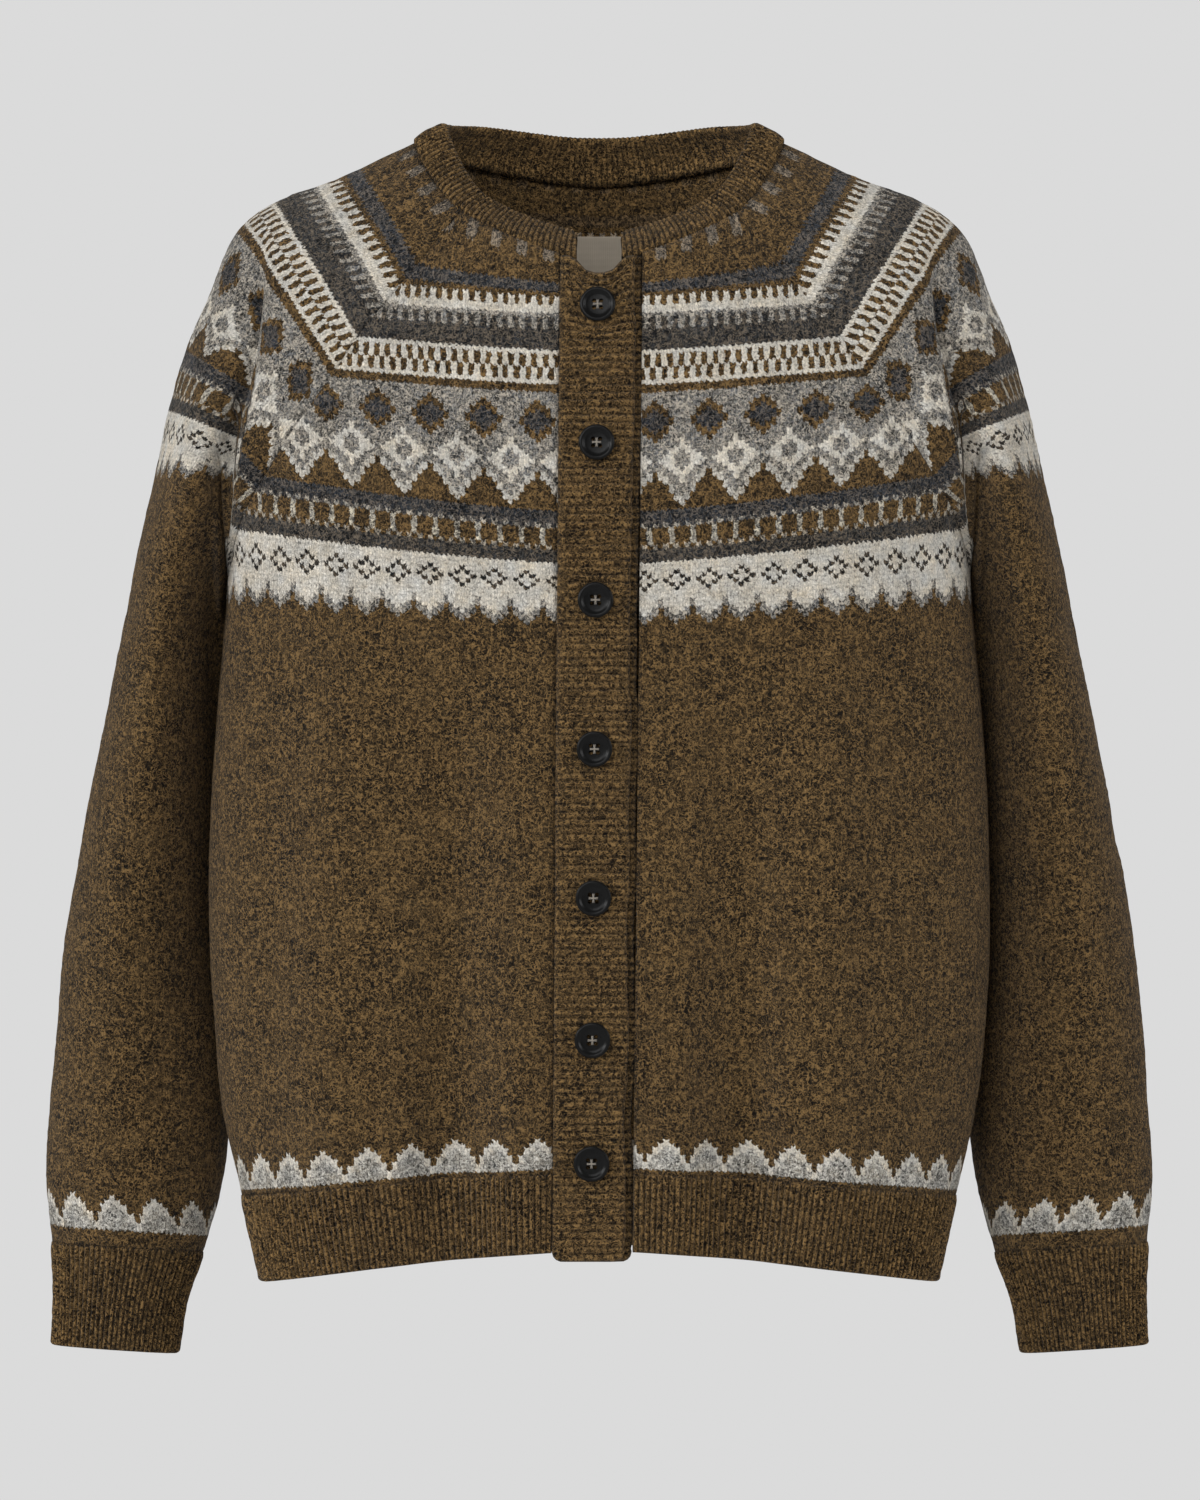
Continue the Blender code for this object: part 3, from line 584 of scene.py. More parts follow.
def knitted_rows(grid, rows):
    """The row that each place of a sleeve is knitted in.

    In front, the body's rows run on to the crease, and beyond it others come out from behind it.
    """
    rows = np.asarray(rows, float)
    down = np.broadcast_to(rows[:, None], grid.shape[:2]).copy()
    keys = np.arange(TURNED["row"][0], TURNED["row"][-1], TURNED_STEP)
    slope, crease_z = (curve(TURNED["row"], TURNED[name], keys) for name in ("slope", "crease_z"))
    outer_x, outer_z = (curve(SLEEVE["row"], SLEEVE[name], keys) for name in ("outer_x", "outer_z"))
    crease_x = curve(CREASE["row"], CREASE["x"], np.clip(keys, None, CREASE["row"][-1]))
    seams = np.array([seam_point(row, -1) for row in keys])
    for r, row in enumerate(rows):
        share = float(rising(row, *TURNED_FROM) * rising(row, *TURNED_TO))
        if share == 0:
            continue
        edge = curve(CREASE["row"], CREASE["x"], max(row, CREASE["row"][0])) + TUCK_WIDTH / 2
        beyond = False
        for c in range(grid.shape[1] // 2 + 1):
            x, z = abs(grid[r, c, 0]), grid[r, c, 2]
            beyond = beyond or x > edge or row > UNDERARM_ROW
            if beyond:
                heights = crease_z + (outer_z - crease_z) * (x - crease_x) / (outer_x - crease_x)
            else:
                heights = seams[:, 2] + slope * (x - seams[:, 0])
            there = np.interp(-z, -heights, keys)
            down[r, c] += (there - row) * share
    return down


def length_of(line):
    return np.linalg.norm(np.diff(line, axis=0), axis=1).sum()


def places_of(along, rows):
    """The map of a grid: millimetres along each row, and the row."""
    return np.stack([along, np.broadcast_to(np.asarray(rows, float)[:, None], along.shape)], axis=-1)


def wall_of(grid, normals, thickness, share=1.0, relief=0.0):
    """The outside and inside of a wall, thinned where share is less than 1, with its relief outside."""
    share, relief = (np.asarray(part)[..., None] for part in (share, relief))
    middle = grid - normals * thickness / 2
    outer = middle + normals * (thickness / 2 + relief) * share
    return outer, middle - normals * thickness / 2 * share


# ---------------------------------------------------------------- shaders


class Value:
    """A node's output. Arithmetic on it adds Math nodes."""

    def __init__(self, graph, socket):
        self.graph, self.socket = graph, socket

    def maths(self, operation, *values):
        return self.graph.add("ShaderNodeMath", {"operation": operation}, dict(enumerate(values)))

    def __add__(self, other):
        return self.maths("ADD", self, other)

    def __sub__(self, other):
        return self.maths("SUBTRACT", self, other)

    def __rsub__(self, other):
        return self.maths("SUBTRACT", other, self)

    def __mul__(self, other):
        return self.maths("MULTIPLY", self, other)

    def __truediv__(self, other):
        return self.maths("DIVIDE", self, other)

    def __pow__(self, other):
        return self.maths("POWER", self, other)

    def __mod__(self, other):
        return self.maths("FLOORED_MODULO", self, other)

    def __lt__(self, other):
        return self.maths("LESS_THAN", self, other)

    def __gt__(self, other):
        return self.maths("GREATER_THAN", self, other)

    def __abs__(self):
        return self.maths("ABSOLUTE", self)

    __radd__, __rmul__ = __add__, __mul__

    def floor(self):
        return self.maths("FLOOR", self)

    def sine(self):
        return self.maths("SINE", self)

    def least(self, other):
        return self.maths("MINIMUM", self, other)

    def most(self, other):
        return self.maths("MAXIMUM", self, other)

    def between(self, low, high):
        """1 from one whole number up to but not at another, and 0 elsewhere, in spite of rounding."""
        return (self > low - 0.001) * (self < high - 0.001)

    def near(self, target, reach=0.5):
        """1 within reach of a number, and 0 elsewhere."""
        return abs(self - target) < reach

    def clamped(self, low=0.0, high=1.0):
        return self.most(low).least(high)

    def output(self, name):
        """Another output of the same node."""
        return Value(self.graph, self.socket.node.outputs[name])


class Graph:
    """A material's nodes, ending in one Principled shader."""

    def __init__(self, name, **constants):
        self.material = bpy.data.materials.new(name)
        self.material.use_nodes = True
        self.tree = self.material.node_tree
        self.shader = self.tree.nodes["Principled BSDF"]
        for socket, value in constants.items():
            self.shader.inputs[socket.replace("_", " ")].default_value = value

    def add(self, kind, settings=None, values=None):
        """Adds a node of a type with its settings, and the values or links of its sockets."""
        node = self.tree.nodes.new(kind)
        for setting, value in (settings or {}).items():
            if setting == "stops":
                ramp = node.color_ramp
                ramp.interpolation = "CONSTANT"
                for number, (at, colour) in enumerate(value):
                    stop = ramp.elements[number] if number < 1 else ramp.elements.new(at)
                    stop.position, stop.color = at, colour
                ramp.elements.remove(ramp.elements[-1])
            else:
                setattr(node, setting, value)
        for key, value in (values or {}).items():
            self.feed(node, key, value)
        return Value(self, next(out for out in node.outputs if out.enabled))

    def feed(self, node, key, value):
        """Links a value to a socket, given by its number or name, or sets the socket to a number."""
        if isinstance(key, int):
            socket = node.inputs[key]
        else:
            socket = next(s for s in node.inputs if s.enabled and s.name == key)
        if isinstance(value, Value):
            self.tree.links.new(value.socket, socket)
        else:
            socket.default_value = value

    def mix(self, share, first, second):
        """first where share is 0, second where it is 1."""
        values = {"Factor": share, "A": first, "B": second}
        return self.add("ShaderNodeMix", {"data_type": "RGBA"}, values)

    def scaled(self, colour, amount):
        """A colour made brighter or darker."""
        colour = colour if isinstance(colour, Value) else colour[:3]
        return self.add("ShaderNodeVectorMath", {"operation": "SCALE"}, {0: colour, "Scale": amount})

    def vectors(self, operation, *values):
        return self.add("ShaderNodeVectorMath", {"operation": operation}, dict(enumerate(values)))

    def noise(self, scale, detail=2.0, distortion=0.0, offset=0.0, roughness=0.5):
        """Noise in space from 0 to 1, with lumps about 1/scale metres apart."""
        moved = self.vectors("ADD", self.add("ShaderNodeTexCoord").output("Object"), (offset,) * 3)
        values = {"Vector": moved, "Scale": scale, "Detail": detail, "Distortion": distortion}
        return self.add("ShaderNodeTexNoise", {}, {**values, "Roughness": roughness})

    def knit_map(self):
        """How many millimetres across and down the knitting a place is."""
        uv = self.add("ShaderNodeUVMap", {"uv_map": KNIT_MAP})
        across = self.add("ShaderNodeSeparateXYZ", {}, {"Vector": uv})
        return across, across.output("Y")

    def finish(self, colour, height=None, depth=0.0, roughness=None):
        """Feeds the shader: its colour, its relief in metres, and its roughness where it varies."""
        self.feed(self.shader, "Base Color", colour)
        if roughness is not None:
            self.feed(self.shader, "Roughness", roughness)
        if height is not None:
            values = {"Height": height, "Distance": depth, "Strength": 1.0}
            self.feed(self.shader, "Normal", self.add("ShaderNodeBump", {}, values))
        return self.material


def rgba(colour, share=1.0):
    return (*(share * v for v in colour), 1.0)


WANDER, WANDER_DOWN = 0.9, 0.7  # how far the yarn wanders, in stitches, and the share of that in rows
FUZZ, FUZZ_ACROSS, FUZZ_DOWN = 2.6, 0.32, 0.5  # how far fibres reach, and its shares in stitches and rows
V_SLOPE, V_MIDDLE = 0.9, 0.22  # how steep a stitch's V is, in rows, and how far up its middle is
LEG_ROUND, ROW_ROUND = 0.6, 0.5  # the powers that round the yarn across and along a leg


def stitches(g, across, down, width, height):
    """Which stitch and row a place of the knitting is in, and how high its yarn stands.

    A stitch is a V: its two legs rise from the middle of its column to either side. Loose fibres make
    its edge ragged.
    """
    drift = (g.noise(230.0, 1.0) - 0.5) * WANDER
    fuzz = (g.noise(750.0, 2.0, 0.6, 2.0, 0.7) - 0.5) * FUZZ
    x = across / width + drift + fuzz * FUZZ_ACROSS
    column = x.floor()
    aside = abs(x - column - 0.5)
    y = down / height + aside * V_SLOPE - V_MIDDLE + drift * WANDER_DOWN + fuzz * FUZZ_DOWN
    legs = abs((x * (2 * math.pi)).sine()) ** LEG_ROUND
    lengths = abs((y * math.pi).sine()) ** ROW_ROUND
    return column, y.floor(), legs * lengths


def curled(g, scale, level, offset, sharpness=17.0):
    """Thin lines that curl like loose fibres, along one level of a noise."""
    return (1.15 - abs(g.noise(scale, 0.0, 0.7, offset) - level) * sharpness).clamped() ** 1.6


# How much of a yarn's tone comes from the fine and the broad mottling, from painted shade between the
# legs of each stitch, and from the dark gaps between fibres.
SOFT, BROAD, STITCH_PAINTED_SHADE, GAPS = 3.3, 1.5, 0.7, 0.55
WARMER, COOLER = (1.12, 1.0, 0.8, 1.0), (0.9, 1.0, 1.14, 1.0)  # the tints that a yarn drifts between
# A pale fibre's colour, partly a paler fibre and partly a painted highlight, is its yarn's times
# PALE_TIMES, plus PALE_PLUS, and PALE_MOST at most.
PALE_TIMES, PALE_PLUS, PALE_MOST = (2.4, 2.3, 2.1), (0.094, 0.058, 0.022), (0.86, 0.82, 0.74)


def heather(g, colour, yarn):
    """A yarn's colour with its fibres: dark between them, and pale ones that curl over it, partly paler
    fibres and partly a painted highlight, with painted shade between each stitch's legs.

    A pale yarn shows less of both than a dark one.
    """
    bright = g.add("ShaderNodeRGBToBW", {}, {"Color": g.scaled(colour, 1.0)})
    amount = (1.15 - bright * 0.95).clamped(0.4, 1.1)
    soft = g.noise(480.0, 2.0, 0.8, roughness=0.7)
    broad = g.noise(45.0, 2.0, offset=3.0)
    curls = curled(g, 330.0, 0.5, 5.0).most(curled(g, 390.0, 0.38, 9.0)).most(curled(g, 360.0, 0.63, 13.0))
    gaps = curled(g, 350.0, 0.5, 17.0) + curled(g, 420.0, 0.6, 25.0)
    # The stitch's height darkens its yarn between the legs: painted shade.
    level = (soft - 0.5) * SOFT + (broad - 0.5) * BROAD + (yarn - 0.6) * STITCH_PAINTED_SHADE - gaps * GAPS
    level = (0.97 - amount * 0.19 + level * amount).clamped(0.08, 2.0)
    tone = g.mix(g.noise(110.0, 2.0, offset=21.0), WARMER, COOLER)
    toned = g.vectors("MULTIPLY", g.scaled(colour, level), tone)
    pale = g.vectors("MULTIPLY_ADD", g.scaled(colour, 1.0), PALE_TIMES, PALE_PLUS)
    pale = g.vectors("MINIMUM", pale, PALE_MOST)
    # Some curls are brighter still, as if lit: a painted highlight on the fibres.
    lit = curled(g, 260.0, 0.5, 31.0, 4.0)
    fibre = (curls * (lit * 0.9 + 0.38) * (1.1 - gaps * 0.6) * amount).clamped(0.0, 0.95)
    return g.mix(fibre, toned, pale), curls, soft


YOKE_END = 90.0  # the stitches' row at which the yoke's table ends


def yoke_colour(g, c, column, row, shifts):
    """The yoke's colourwork, by stitch and row, in the yarns of c.

    shifts are how many stitches the diamonds and the flowers are moved on, to the right of the centre
    and to its left.
    """
    grounds = (
        (0, c.brown), (6, c.slate), (8, c.brown), (11, c.white), (13, c.grey), (14, c.charcoal),
        (22, c.white), (30, c.brown), (32, c.grey), (60, c.slate), (64, c.brown), (69, c.charcoal),
        (72, c.white), (88, c.brown),
    )
    stops = [(first / YOKE_END, yarn) for first, yarn in grounds]
    colour = g.add("ShaderNodeValToRGB", {"stops": stops}, {"Fac": (row + 0.5) / YOKE_END})
    other = column % 2.0
    teeth = row.between(9, 11) * (1 - other)
    fringe = row.between(14, 17) * (1 - other)
    checks = row.between(23, 26) * (1 - other) + row.between(26, 29) * other
    flecks = row.between(0, 2) * ((column % 5.0) < 1.5)
    is_left = column < 0
    diamond, flower = (is_left * (left - right) + right for right, left in zip(*shifts))
    # Two lines of diamonds, ten stitches apart, the second half a repeat along from the first.
    aside = abs((column + diamond) % 10.0 - 5.0)
    upper = aside + abs(row - 38.5) * 0.72
    lower = 5.0 - aside + abs(row - 48.0) * 0.8
    frames = (lower < 4.1) * (lower > 1.95)
    hills = row.between(51, 60) * (aside < (row - 50.6) * 0.62)
    edges = row.between(51, 60) * (aside < (row - 48.6) * 0.62) * (1 - hills)
    # Four specks round a brighter one, every four stitches.
    cross = column % 4.0 - 1.0
    stars = (row.near(63) + row.near(68)) * abs(cross).near(1.0) * (cross < 1.5) * 0.6
    stars = stars + row.between(64, 68) * cross.near(0.0) * 0.8
    # Small open diamonds, and under them the points in which the white ends.
    petal = abs((column + flower) % 6.0 - 3.0)
    flowers = (petal + abs(row - 76.0)).near(2.0) * row.between(73, 80)
    points = 84.2 - petal * 1.1
    tips = (row > points) * (row < points + 2.1) * row.between(80, 88)
    below = (row > points) * row.between(80, 89)
    layers = [
        (teeth, c.white), (fringe, c.grey), (checks, c.brown), (flecks * 0.4, c.grey), (frames, c.white),
        (upper < 3.9, c.brown), (upper < 2.45, c.slate), (edges * 0.7, c.white), (hills, c.brown),
        (stars, c.pale), (flowers, c.dark), (below, c.brown), (tips, c.grey),
    ]
    for mask, yarn in layers:
        colour = g.mix(mask.clamped(), colour, yarn)
    return colour


PEAK_REPEAT = 8.0  # stitches from one peak to the next


def peaks(g, c, colour, column, row, base):
    """Grey peaks with a white edge that stand on a row."""
    aside = abs(column % PEAK_REPEAT - PEAK_REPEAT / 2)
    up = base - row
    top = 8.6 - aside * 0.5 - aside**2.0 * 0.28
    inside = (up > 0.0) * (up < top)
    return g.mix(inside, colour, g.mix(up > top - 2.3, c.pale, c.white))


def yarn_colours(looks):
    """The yarns' colours as shader values."""
    names = ("brown", "slate", "charcoal", "grey", "pale", "white")
    yarns = {name: rgba(getattr(looks, name)) for name in names}
    return SimpleNamespace(**yarns, dark=rgba(looks.charcoal, 0.6))


WOOL = {"Roughness": 0.95, "Sheen_Weight": 0.06, "Sheen_Roughness": 0.5, "Specular_IOR_Level": 0.1}
# The inside's brightening is painted light, for light that does not reach into the garment.
INSIDE_BROWN, INSIDE_PAINTED_LIGHT = 0.8, 1.35  # how much of the inside is brown, and how much brighter it is
KNIT_RELIEF, RIB_RELIEF = 0.0011, 0.0010  # the height of the fine relief, in metres


def stocking_stitch(name, looks, sizes, peak_row, shifts, inside=False):
    """The plain and colourwork knitting of the body or the sleeves, seen from outside or inside."""
    g = Graph(name, **WOOL)
    c = yarn_colours(looks)
    across, down = g.knit_map()
    width = (down < sizes.check_end / MM) * (sizes.upper_stitch - sizes.stitch) / MM + sizes.stitch / MM
    column, row, yarn = stitches(g, across, down, width, sizes.row / MM)
    colour = peaks(g, c, yoke_colour(g, c, column, row, shifts), column, row, peak_row)
    if inside:
        # The inside is made brighter here: painted light.
        colour = g.scaled(g.mix(INSIDE_BROWN, colour, c.brown), INSIDE_PAINTED_LIGHT)
    colour, curls, soft = heather(g, colour, yarn)
    return g.finish(colour, yarn * 0.6 + soft * 0.7 + curls * 0.25, KNIT_RELIEF)


def outside_and_inside(name, *details):
    """The knitting of the body or the sleeves, as a pair of materials, the inside one brightened with
    painted light.
    """
    return [stocking_stitch(name, *details), stocking_stitch(name + "_inside", *details, inside=True)]


def ribbing(name, looks, sizes, groove_shade=0.3, bright=1.0):
    """Brown ribs. The ribs themselves are in the mesh, and the stitches lie one above another on them.

    How bright the yarn is between the ribs is a painted shade in the grooves, and bright is how bright all
    of it is, a painted shade or painted light over the whole piece.
    """
    if name in bpy.data.materials:
        return bpy.data.materials[name]
    g = Graph(name, **WOOL)
    across, down = g.knit_map()
    _, _, yarn = stitches(g, across, down, sizes.rib / MM, sizes.row / MM)
    ridge = abs((across * (math.pi * MM / sizes.rib)).sine()) ** 0.8
    colour, curls, soft = heather(g, rgba(looks.brown), yarn)
    # Darker between the ribs: painted shade in the grooves, and the whole scaled as painted shade or light.
    shaded = g.scaled(colour, ridge * (1.1 - groove_shade) * bright + groove_shade * bright)
    return g.finish(shaded, yarn * 0.3 + soft * 0.6 + curls * 0.2 + ridge * 0.5, RIB_RELIEF)


def glossy_black(name, colour):
    """The buttons' polished black, a little cloudy and finely scratched."""
    g = Graph(name, Specular_IOR_Level=0.14)
    cloud = g.noise(180.0, 3.0)
    scratch = g.noise(900.0, 2.0, 0.4)
    shade = g.mix(cloud, rgba(colour, 0.7), rgba(colour, 1.5))
    return g.finish(shade, scratch, 0.00004, 0.2 + scratch * 0.22)


def button_thread(name, colour):
    g = Graph(name, Roughness=0.8, Sheen_Weight=0.2)
    fibres = g.noise(2600.0, 2.0, 0.5)
    return g.finish(g.scaled(rgba(colour), 0.65 + fibres * 0.7), fibres, 0.0002)


def satin(name, colour):
    """The label's woven satin: fine threads across it."""
    g = Graph(name, Sheen_Weight=0.3)
    across, down = g.knit_map()
    weft = (down * 9.0).sine() * 0.5 + 0.5
    warp = (across * 5.0).sine() * 0.5 + 0.5
    weave = weft * 0.7 + warp * 0.3
    cloud = g.noise(120.0, 3.0)
    level = 0.88 + weave * 0.14 + (cloud - 0.5) * 0.25
    return g.finish(g.scaled(rgba(colour), level), weave, 0.00012, 0.42 + cloud * 0.2)


# ---------------------------------------------------------------- pieces


def plain_piece(name, rows, line_at, columns, hand, looks, sizes, closed_from=None):
    """A plain part of the body or a sleeve, from its rows."""
    grid, normals, along = grid_of(rows, lambda row: line_at(row, hand, columns))
    places = places_of(along, rows)
    if line_at is sleeve_line:
        grid, normals = tucked(grid, normals, rows, hand)
        places[..., 1] = knitted_rows(grid, rows)
    grid = grid + normals * uneven(grid, sizes)[..., None]
    outer, inner = wall_of(grid, normals, sizes.wall / MM)
    piece = add_shell("knit_" + name, outer, inner, places, looks, closed_from)
    return declare(piece, name, grid)


RIB_ROUND = 0.8  # the power that rounds a rib
RIB_START, RIB_GROWTH = 0.35, 6  # a rib's height at the plain knitting, and over how many rows it grows
HEM_EDGE, NECK_EDGE, BAND_EDGE, END_EDGE = 2.2, 3.0, 2.0, 1.6  # radii of the rounded free edges


def ribs_over(count):
    """At each of so many points across ribs: how many ribs along it is, and how far up on its rib."""
    across = np.arange(count) / RIB_FACES
    return across, (0.5 - 0.5 * np.cos(2 * np.pi * across)) ** RIB_ROUND


def ribbed_piece(name, rows, line_at, hand, looks, sizes, closed_from=None):
    """A ribbed hem or cuff, with a rounded free edge at its last row."""
    ribs = round(length_of(line_at(rows[0], hand, 200)[0]) / (sizes.rib / MM))
    grid, normals, _ = grid_of(rows, lambda row: line_at(row, hand, ribs * RIB_FACES))
    grid = grid + normals * uneven(grid, sizes)[..., None]
    across, raised = ribs_over(grid.shape[1])
    down = rows - rows[0]
    grown = np.clip(RIB_START + down / RIB_GROWTH, 0, 1)[:, None]
    share = near_edge(rows[-1] - rows, HEM_EDGE)[:, None]
    relief = raised * grown * sizes.rib_depth / MM
    outer, inner = wall_of(grid, normals, sizes.rib_wall / MM, share, relief)
    along = np.broadcast_to(across * sizes.rib / MM, grid.shape[:2])
    piece = add_shell("knit_" + name, outer, inner, places_of(along, down), looks, closed_from)
    return declare(piece, name, grid)


def declare(piece, node, grid):
    """Attaches a piece of knitting to the root, and hides the solid that it stands for."""
    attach(piece, ROOT)
    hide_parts(node)
    return piece


def neck_seam(columns):
    """The neck seam from one front's end round the back to the other's."""
    shares = np.linspace(0, 1, columns // 4 + 1)
    ahead = np.concatenate([body_half(0, -1, 1, NECK_END_X), sleeve_half(0, -1)[1:]])
    behind = np.concatenate([sleeve_half(0, 1)[::-1], body_half(0, 1, 1)[::-1][1:]])
    half = np.concatenate([evenly(ahead, shares), evenly(behind, shares)[1:]])
    return np.concatenate([half, half[::-1][1:] * (-1, 1, 1)])


NECK_SHARES = np.array([0, 0.06, 0.14, 0.24, 0.36, 0.48, 0.6, 0.72, 0.82, 0.9, 0.95, 0.98, 1.0])
NECK_SMOOTHING = 60  # rounds of smoothing along its top edge, which take off the shoulders' corners
NECK_CORNER, NECK_CORNER_SHARE = 7.0, 0.34  # how far each rounded end reaches along and down the band
NECK_BULGE, NECK_UNEVEN = 0.035, 0.6
NECK_RIBS_FROM = 0.14  # share of its height at which its ribs are fully grown
NECK_LIP, NECK_LIP_IN = 3.0, 0.8  # how far its inside hangs over the yoke's edge, and stands in there


def neckband_grid(columns):
    """The neckband's outside, from its seam to its top edge, with rounded ends."""
    seam = neck_seam(columns)
    turn = 1 - np.abs(np.linspace(-1, 1, len(seam)))
    narrower, shallower, rise = (
        curve(NECKBAND["turn"], NECKBAND[name], turn) for name in ("narrower", "shallower", "rise")
    )
    top = np.stack([seam[:, 0] * narrower, seam[:, 1] * shallower, seam[:, 2] + rise], axis=1)
    for _ in range(NECK_SMOOTHING):
        top[1:-1] = (top[:-2] + 2 * top[1:-1] + top[2:]) / 4
    top[0, 0], top[-1, 0] = seam[0, 0], seam[-1, 0]
    steps = np.linalg.norm(np.diff(seam, axis=0), axis=1)
    along = np.concatenate([[0], np.cumsum(steps)])
    ends = np.minimum(along, along[-1] - along)
    round_end = 1 - np.sqrt(1 - (1 - np.clip(ends / NECK_CORNER, 0, 1)) ** 2)
    lowered = 1 - NECK_CORNER_SHARE * round_end
    rows = []
    for share in NECK_SHARES:
        reach = (share * lowered)[:, None]
        bulge = 1 + NECK_BULGE * np.sin(np.pi * np.clip(reach, 0, 1)) ** 0.8
        row = seam + (top - seam) * reach
        rows.append(row * np.concatenate([bulge, bulge, np.ones_like(bulge)], axis=1))
    rows = np.array(rows)
    rows[:, 0, 0], rows[:, -1, 0] = NECK_END_X, -NECK_END_X
    return rows, ends


def neckband(looks, sizes):
    """The neckband, with a lip inside that covers the yoke's edge."""
    ribs = round(length_of(neck_seam(400)) / (sizes.neck_rib / MM))
    grid, ends = neckband_grid(ribs * RIB_FACES)
    normals = outward(grid, np.gradient(grid, axis=1))
    normals[0, :, 2] = NECK_SEAM_LEAN
    normals /= np.linalg.norm(normals, axis=2, keepdims=True)
    grid = grid + normals * uneven(grid, sizes)[..., None] * NECK_UNEVEN
    across, raised = ribs_over(grid.shape[1])
    grown = np.clip(NECK_SHARES / NECK_RIBS_FROM, 0, 1)[:, None]
    height = np.linalg.norm(np.diff(grid, axis=0), axis=2).sum(axis=0).mean()
    share = near_edge((1 - NECK_SHARES) * height, NECK_EDGE)[:, None] * near_edge(ends, END_EDGE, 0.35)
    relief = raised * grown * sizes.rib_depth / MM
    outer, inner = wall_of(grid, normals, sizes.neck_wall / MM, share, relief)
    hanging = grid[0] - grid[1]
    hanging /= np.linalg.norm(hanging, axis=1, keepdims=True)
    inner[0] += hanging * NECK_LIP - normals[0] * NECK_LIP_IN
    along = np.broadcast_to(across * sizes.rib / MM, grid.shape[:2])
    piece = add_shell("knit_neckband", outer, inner, places_of(along, NECK_SHARES * height), looks)
    return declare(piece, "neckband", grid)


def face_y(x, z, side):
    """Where the outside of the front (side -1) or back (1) lies at a place near its middle."""
    centre = BODY["front_z" if side < 0 else "back_z"]
    b = at_row(BODY, np.interp(-z, -centre, BODY["row"]))
    depth = b["front"] if side < 0 else b["back"]
    share = (1 - abs(x / b["half"]) ** b["round"]) ** (1 / b["round"])
    return side * (depth * share + float(fold_depth(np.array([x]), z, side)[0]))


BAND_SHARES = np.array([0, 0.02, 0.06, 0.12, 0.22, 0.34, 0.46, 0.58, 0.7, 0.8, 0.88, 0.94, 0.98, 1.0])
# The band's outer edge waves: (how far, how long its waves are, which heights it follows).
BAND_WAVES = ((1.3, 34.0, COARSE), (0.8, 9.0, FINE))
BAND_CORNER = 6  # radius of the lower corners
# The neck's curve runs on over the top of the bands, which is raised at the sides and scooped out in the
# middle. That fades out over one part in SCOOP_FADE of the band's length.
SCOOP_RAISED, SCOOP_DEPTH, SCOOP_HALF, SCOOP_FADE = 4.2, 10, 12, 12
BAND_END_FADE = 0.015  # share of the band's length over which the lower corners are rounded
BAND_MAP_WIDTH = 42  # its width on the knit map
BAND_UNEVEN = 0.5
BAND_ROLL, BAND_ROLL_WIDTH = 1.6, 4.0  # how far the outer edge of the band on top rolls in


def band(name, left, right, profile, looks, sizes, rolled):
    """A front band with ribs across it. Its outer edge is rolled in where rolled is more than 0.

    left and right are the x of its edges at the top and at the hem, and profile how far it stands out
    from the fronts, as (share of its width, distance).
    """
    length = BAND_TOP_Z - BAND_END_Z
    ribs = round(length / (sizes.band_rib / MM))
    downs = np.linspace(0, 1, ribs * RIB_FACES + 1)
    outs = np.interp(BAND_SHARES, *np.array(profile).T)
    zs = BAND_TOP_Z - length * downs
    edges = [top + (end - top) * downs for top, end in (left, right)]
    width = edges[1] - edges[0]
    near_top = np.clip(1 - downs * SCOOP_FADE, 0, 1)
    near_end = np.clip((downs - 1 + BAND_END_FADE) / BAND_END_FADE, 0, 1)
    at = np.stack([zs * 0, zs * 0 + 40, zs], axis=1)
    wave = sum(softly_random(at, size, heights) * reach for reach, size, heights in BAND_WAVES)
    grid = []
    for share, out in zip(BAND_SHARES, outs):
        x = edges[0] + width * share + wave * share
        inset = 1 - min(share, 1 - share) * abs(width) / BAND_CORNER
        corner = BAND_CORNER * (1 - np.sqrt(1 - np.clip(inset, 0, 1) ** 2))
        scoop = SCOOP_RAISED - SCOOP_DEPTH * np.exp(-((x / SCOOP_HALF) ** 4))
        z = zs + scoop * near_top + corner * near_end
        y = np.array([face_y(*spot, -1) for spot in zip(x, z)]) - out
        grid.append(np.stack([x, y, z], axis=1))
    grid = np.array(grid)
    normals = np.broadcast_to((0.0, -1.0, 0.0), grid.shape)
    grid[..., 1] -= uneven(grid, sizes) * BAND_UNEVEN
    across = (1 - BAND_SHARES[:, None]) * abs(width)
    sides = np.minimum(across, abs(width) - across)
    ends = np.minimum(downs, 1 - downs) * length
    share = near_edge(sides, BAND_EDGE, 0.2) * near_edge(ends, HEM_EDGE, 0.2)
    along, raised = ribs_over(len(downs))
    outer, inner = wall_of(grid, normals, sizes.rib_wall / MM, share, raised * sizes.rib_depth / MM)
    curl = rolled * np.clip(1 - across / BAND_ROLL_WIDTH, 0, 1) ** 2
    outer[..., 1] += curl
    inner[..., 1] += curl
    along = np.broadcast_to(along * sizes.rib / MM, across.shape)
    piece = add_shell("knit_" + name, outer, inner, places_of(along, BAND_SHARES * BAND_MAP_WIDTH), looks)
    return declare(piece, name, grid.transpose(1, 0, 2))


def tube_faces(sides, count, start=0):
    """A closed tube's faces, its two ends first, from rings of points that are numbered from start."""
    rings = [list(range(start + k * sides, start + (k + 1) * sides)) for k in range(count)]
    faces = [tuple(rings[0]), tuple(rings[-1])[::-1]]
    for one, two in zip(rings, rings[1:]):
        faces += [(one[k - 1], two[k - 1], two[k], one[k]) for k in range(sides)]
    return faces


BUTTON_RADIUS, BUTTON_SIDES = 10.3, 64
BUTTON_STAND = BAND_PROUD + 0.9 + 0.35  # from the fronts: the band, its ribs and a gap
HOLE_RADIUS, HOLE_SPACING = 1.2, 4.1
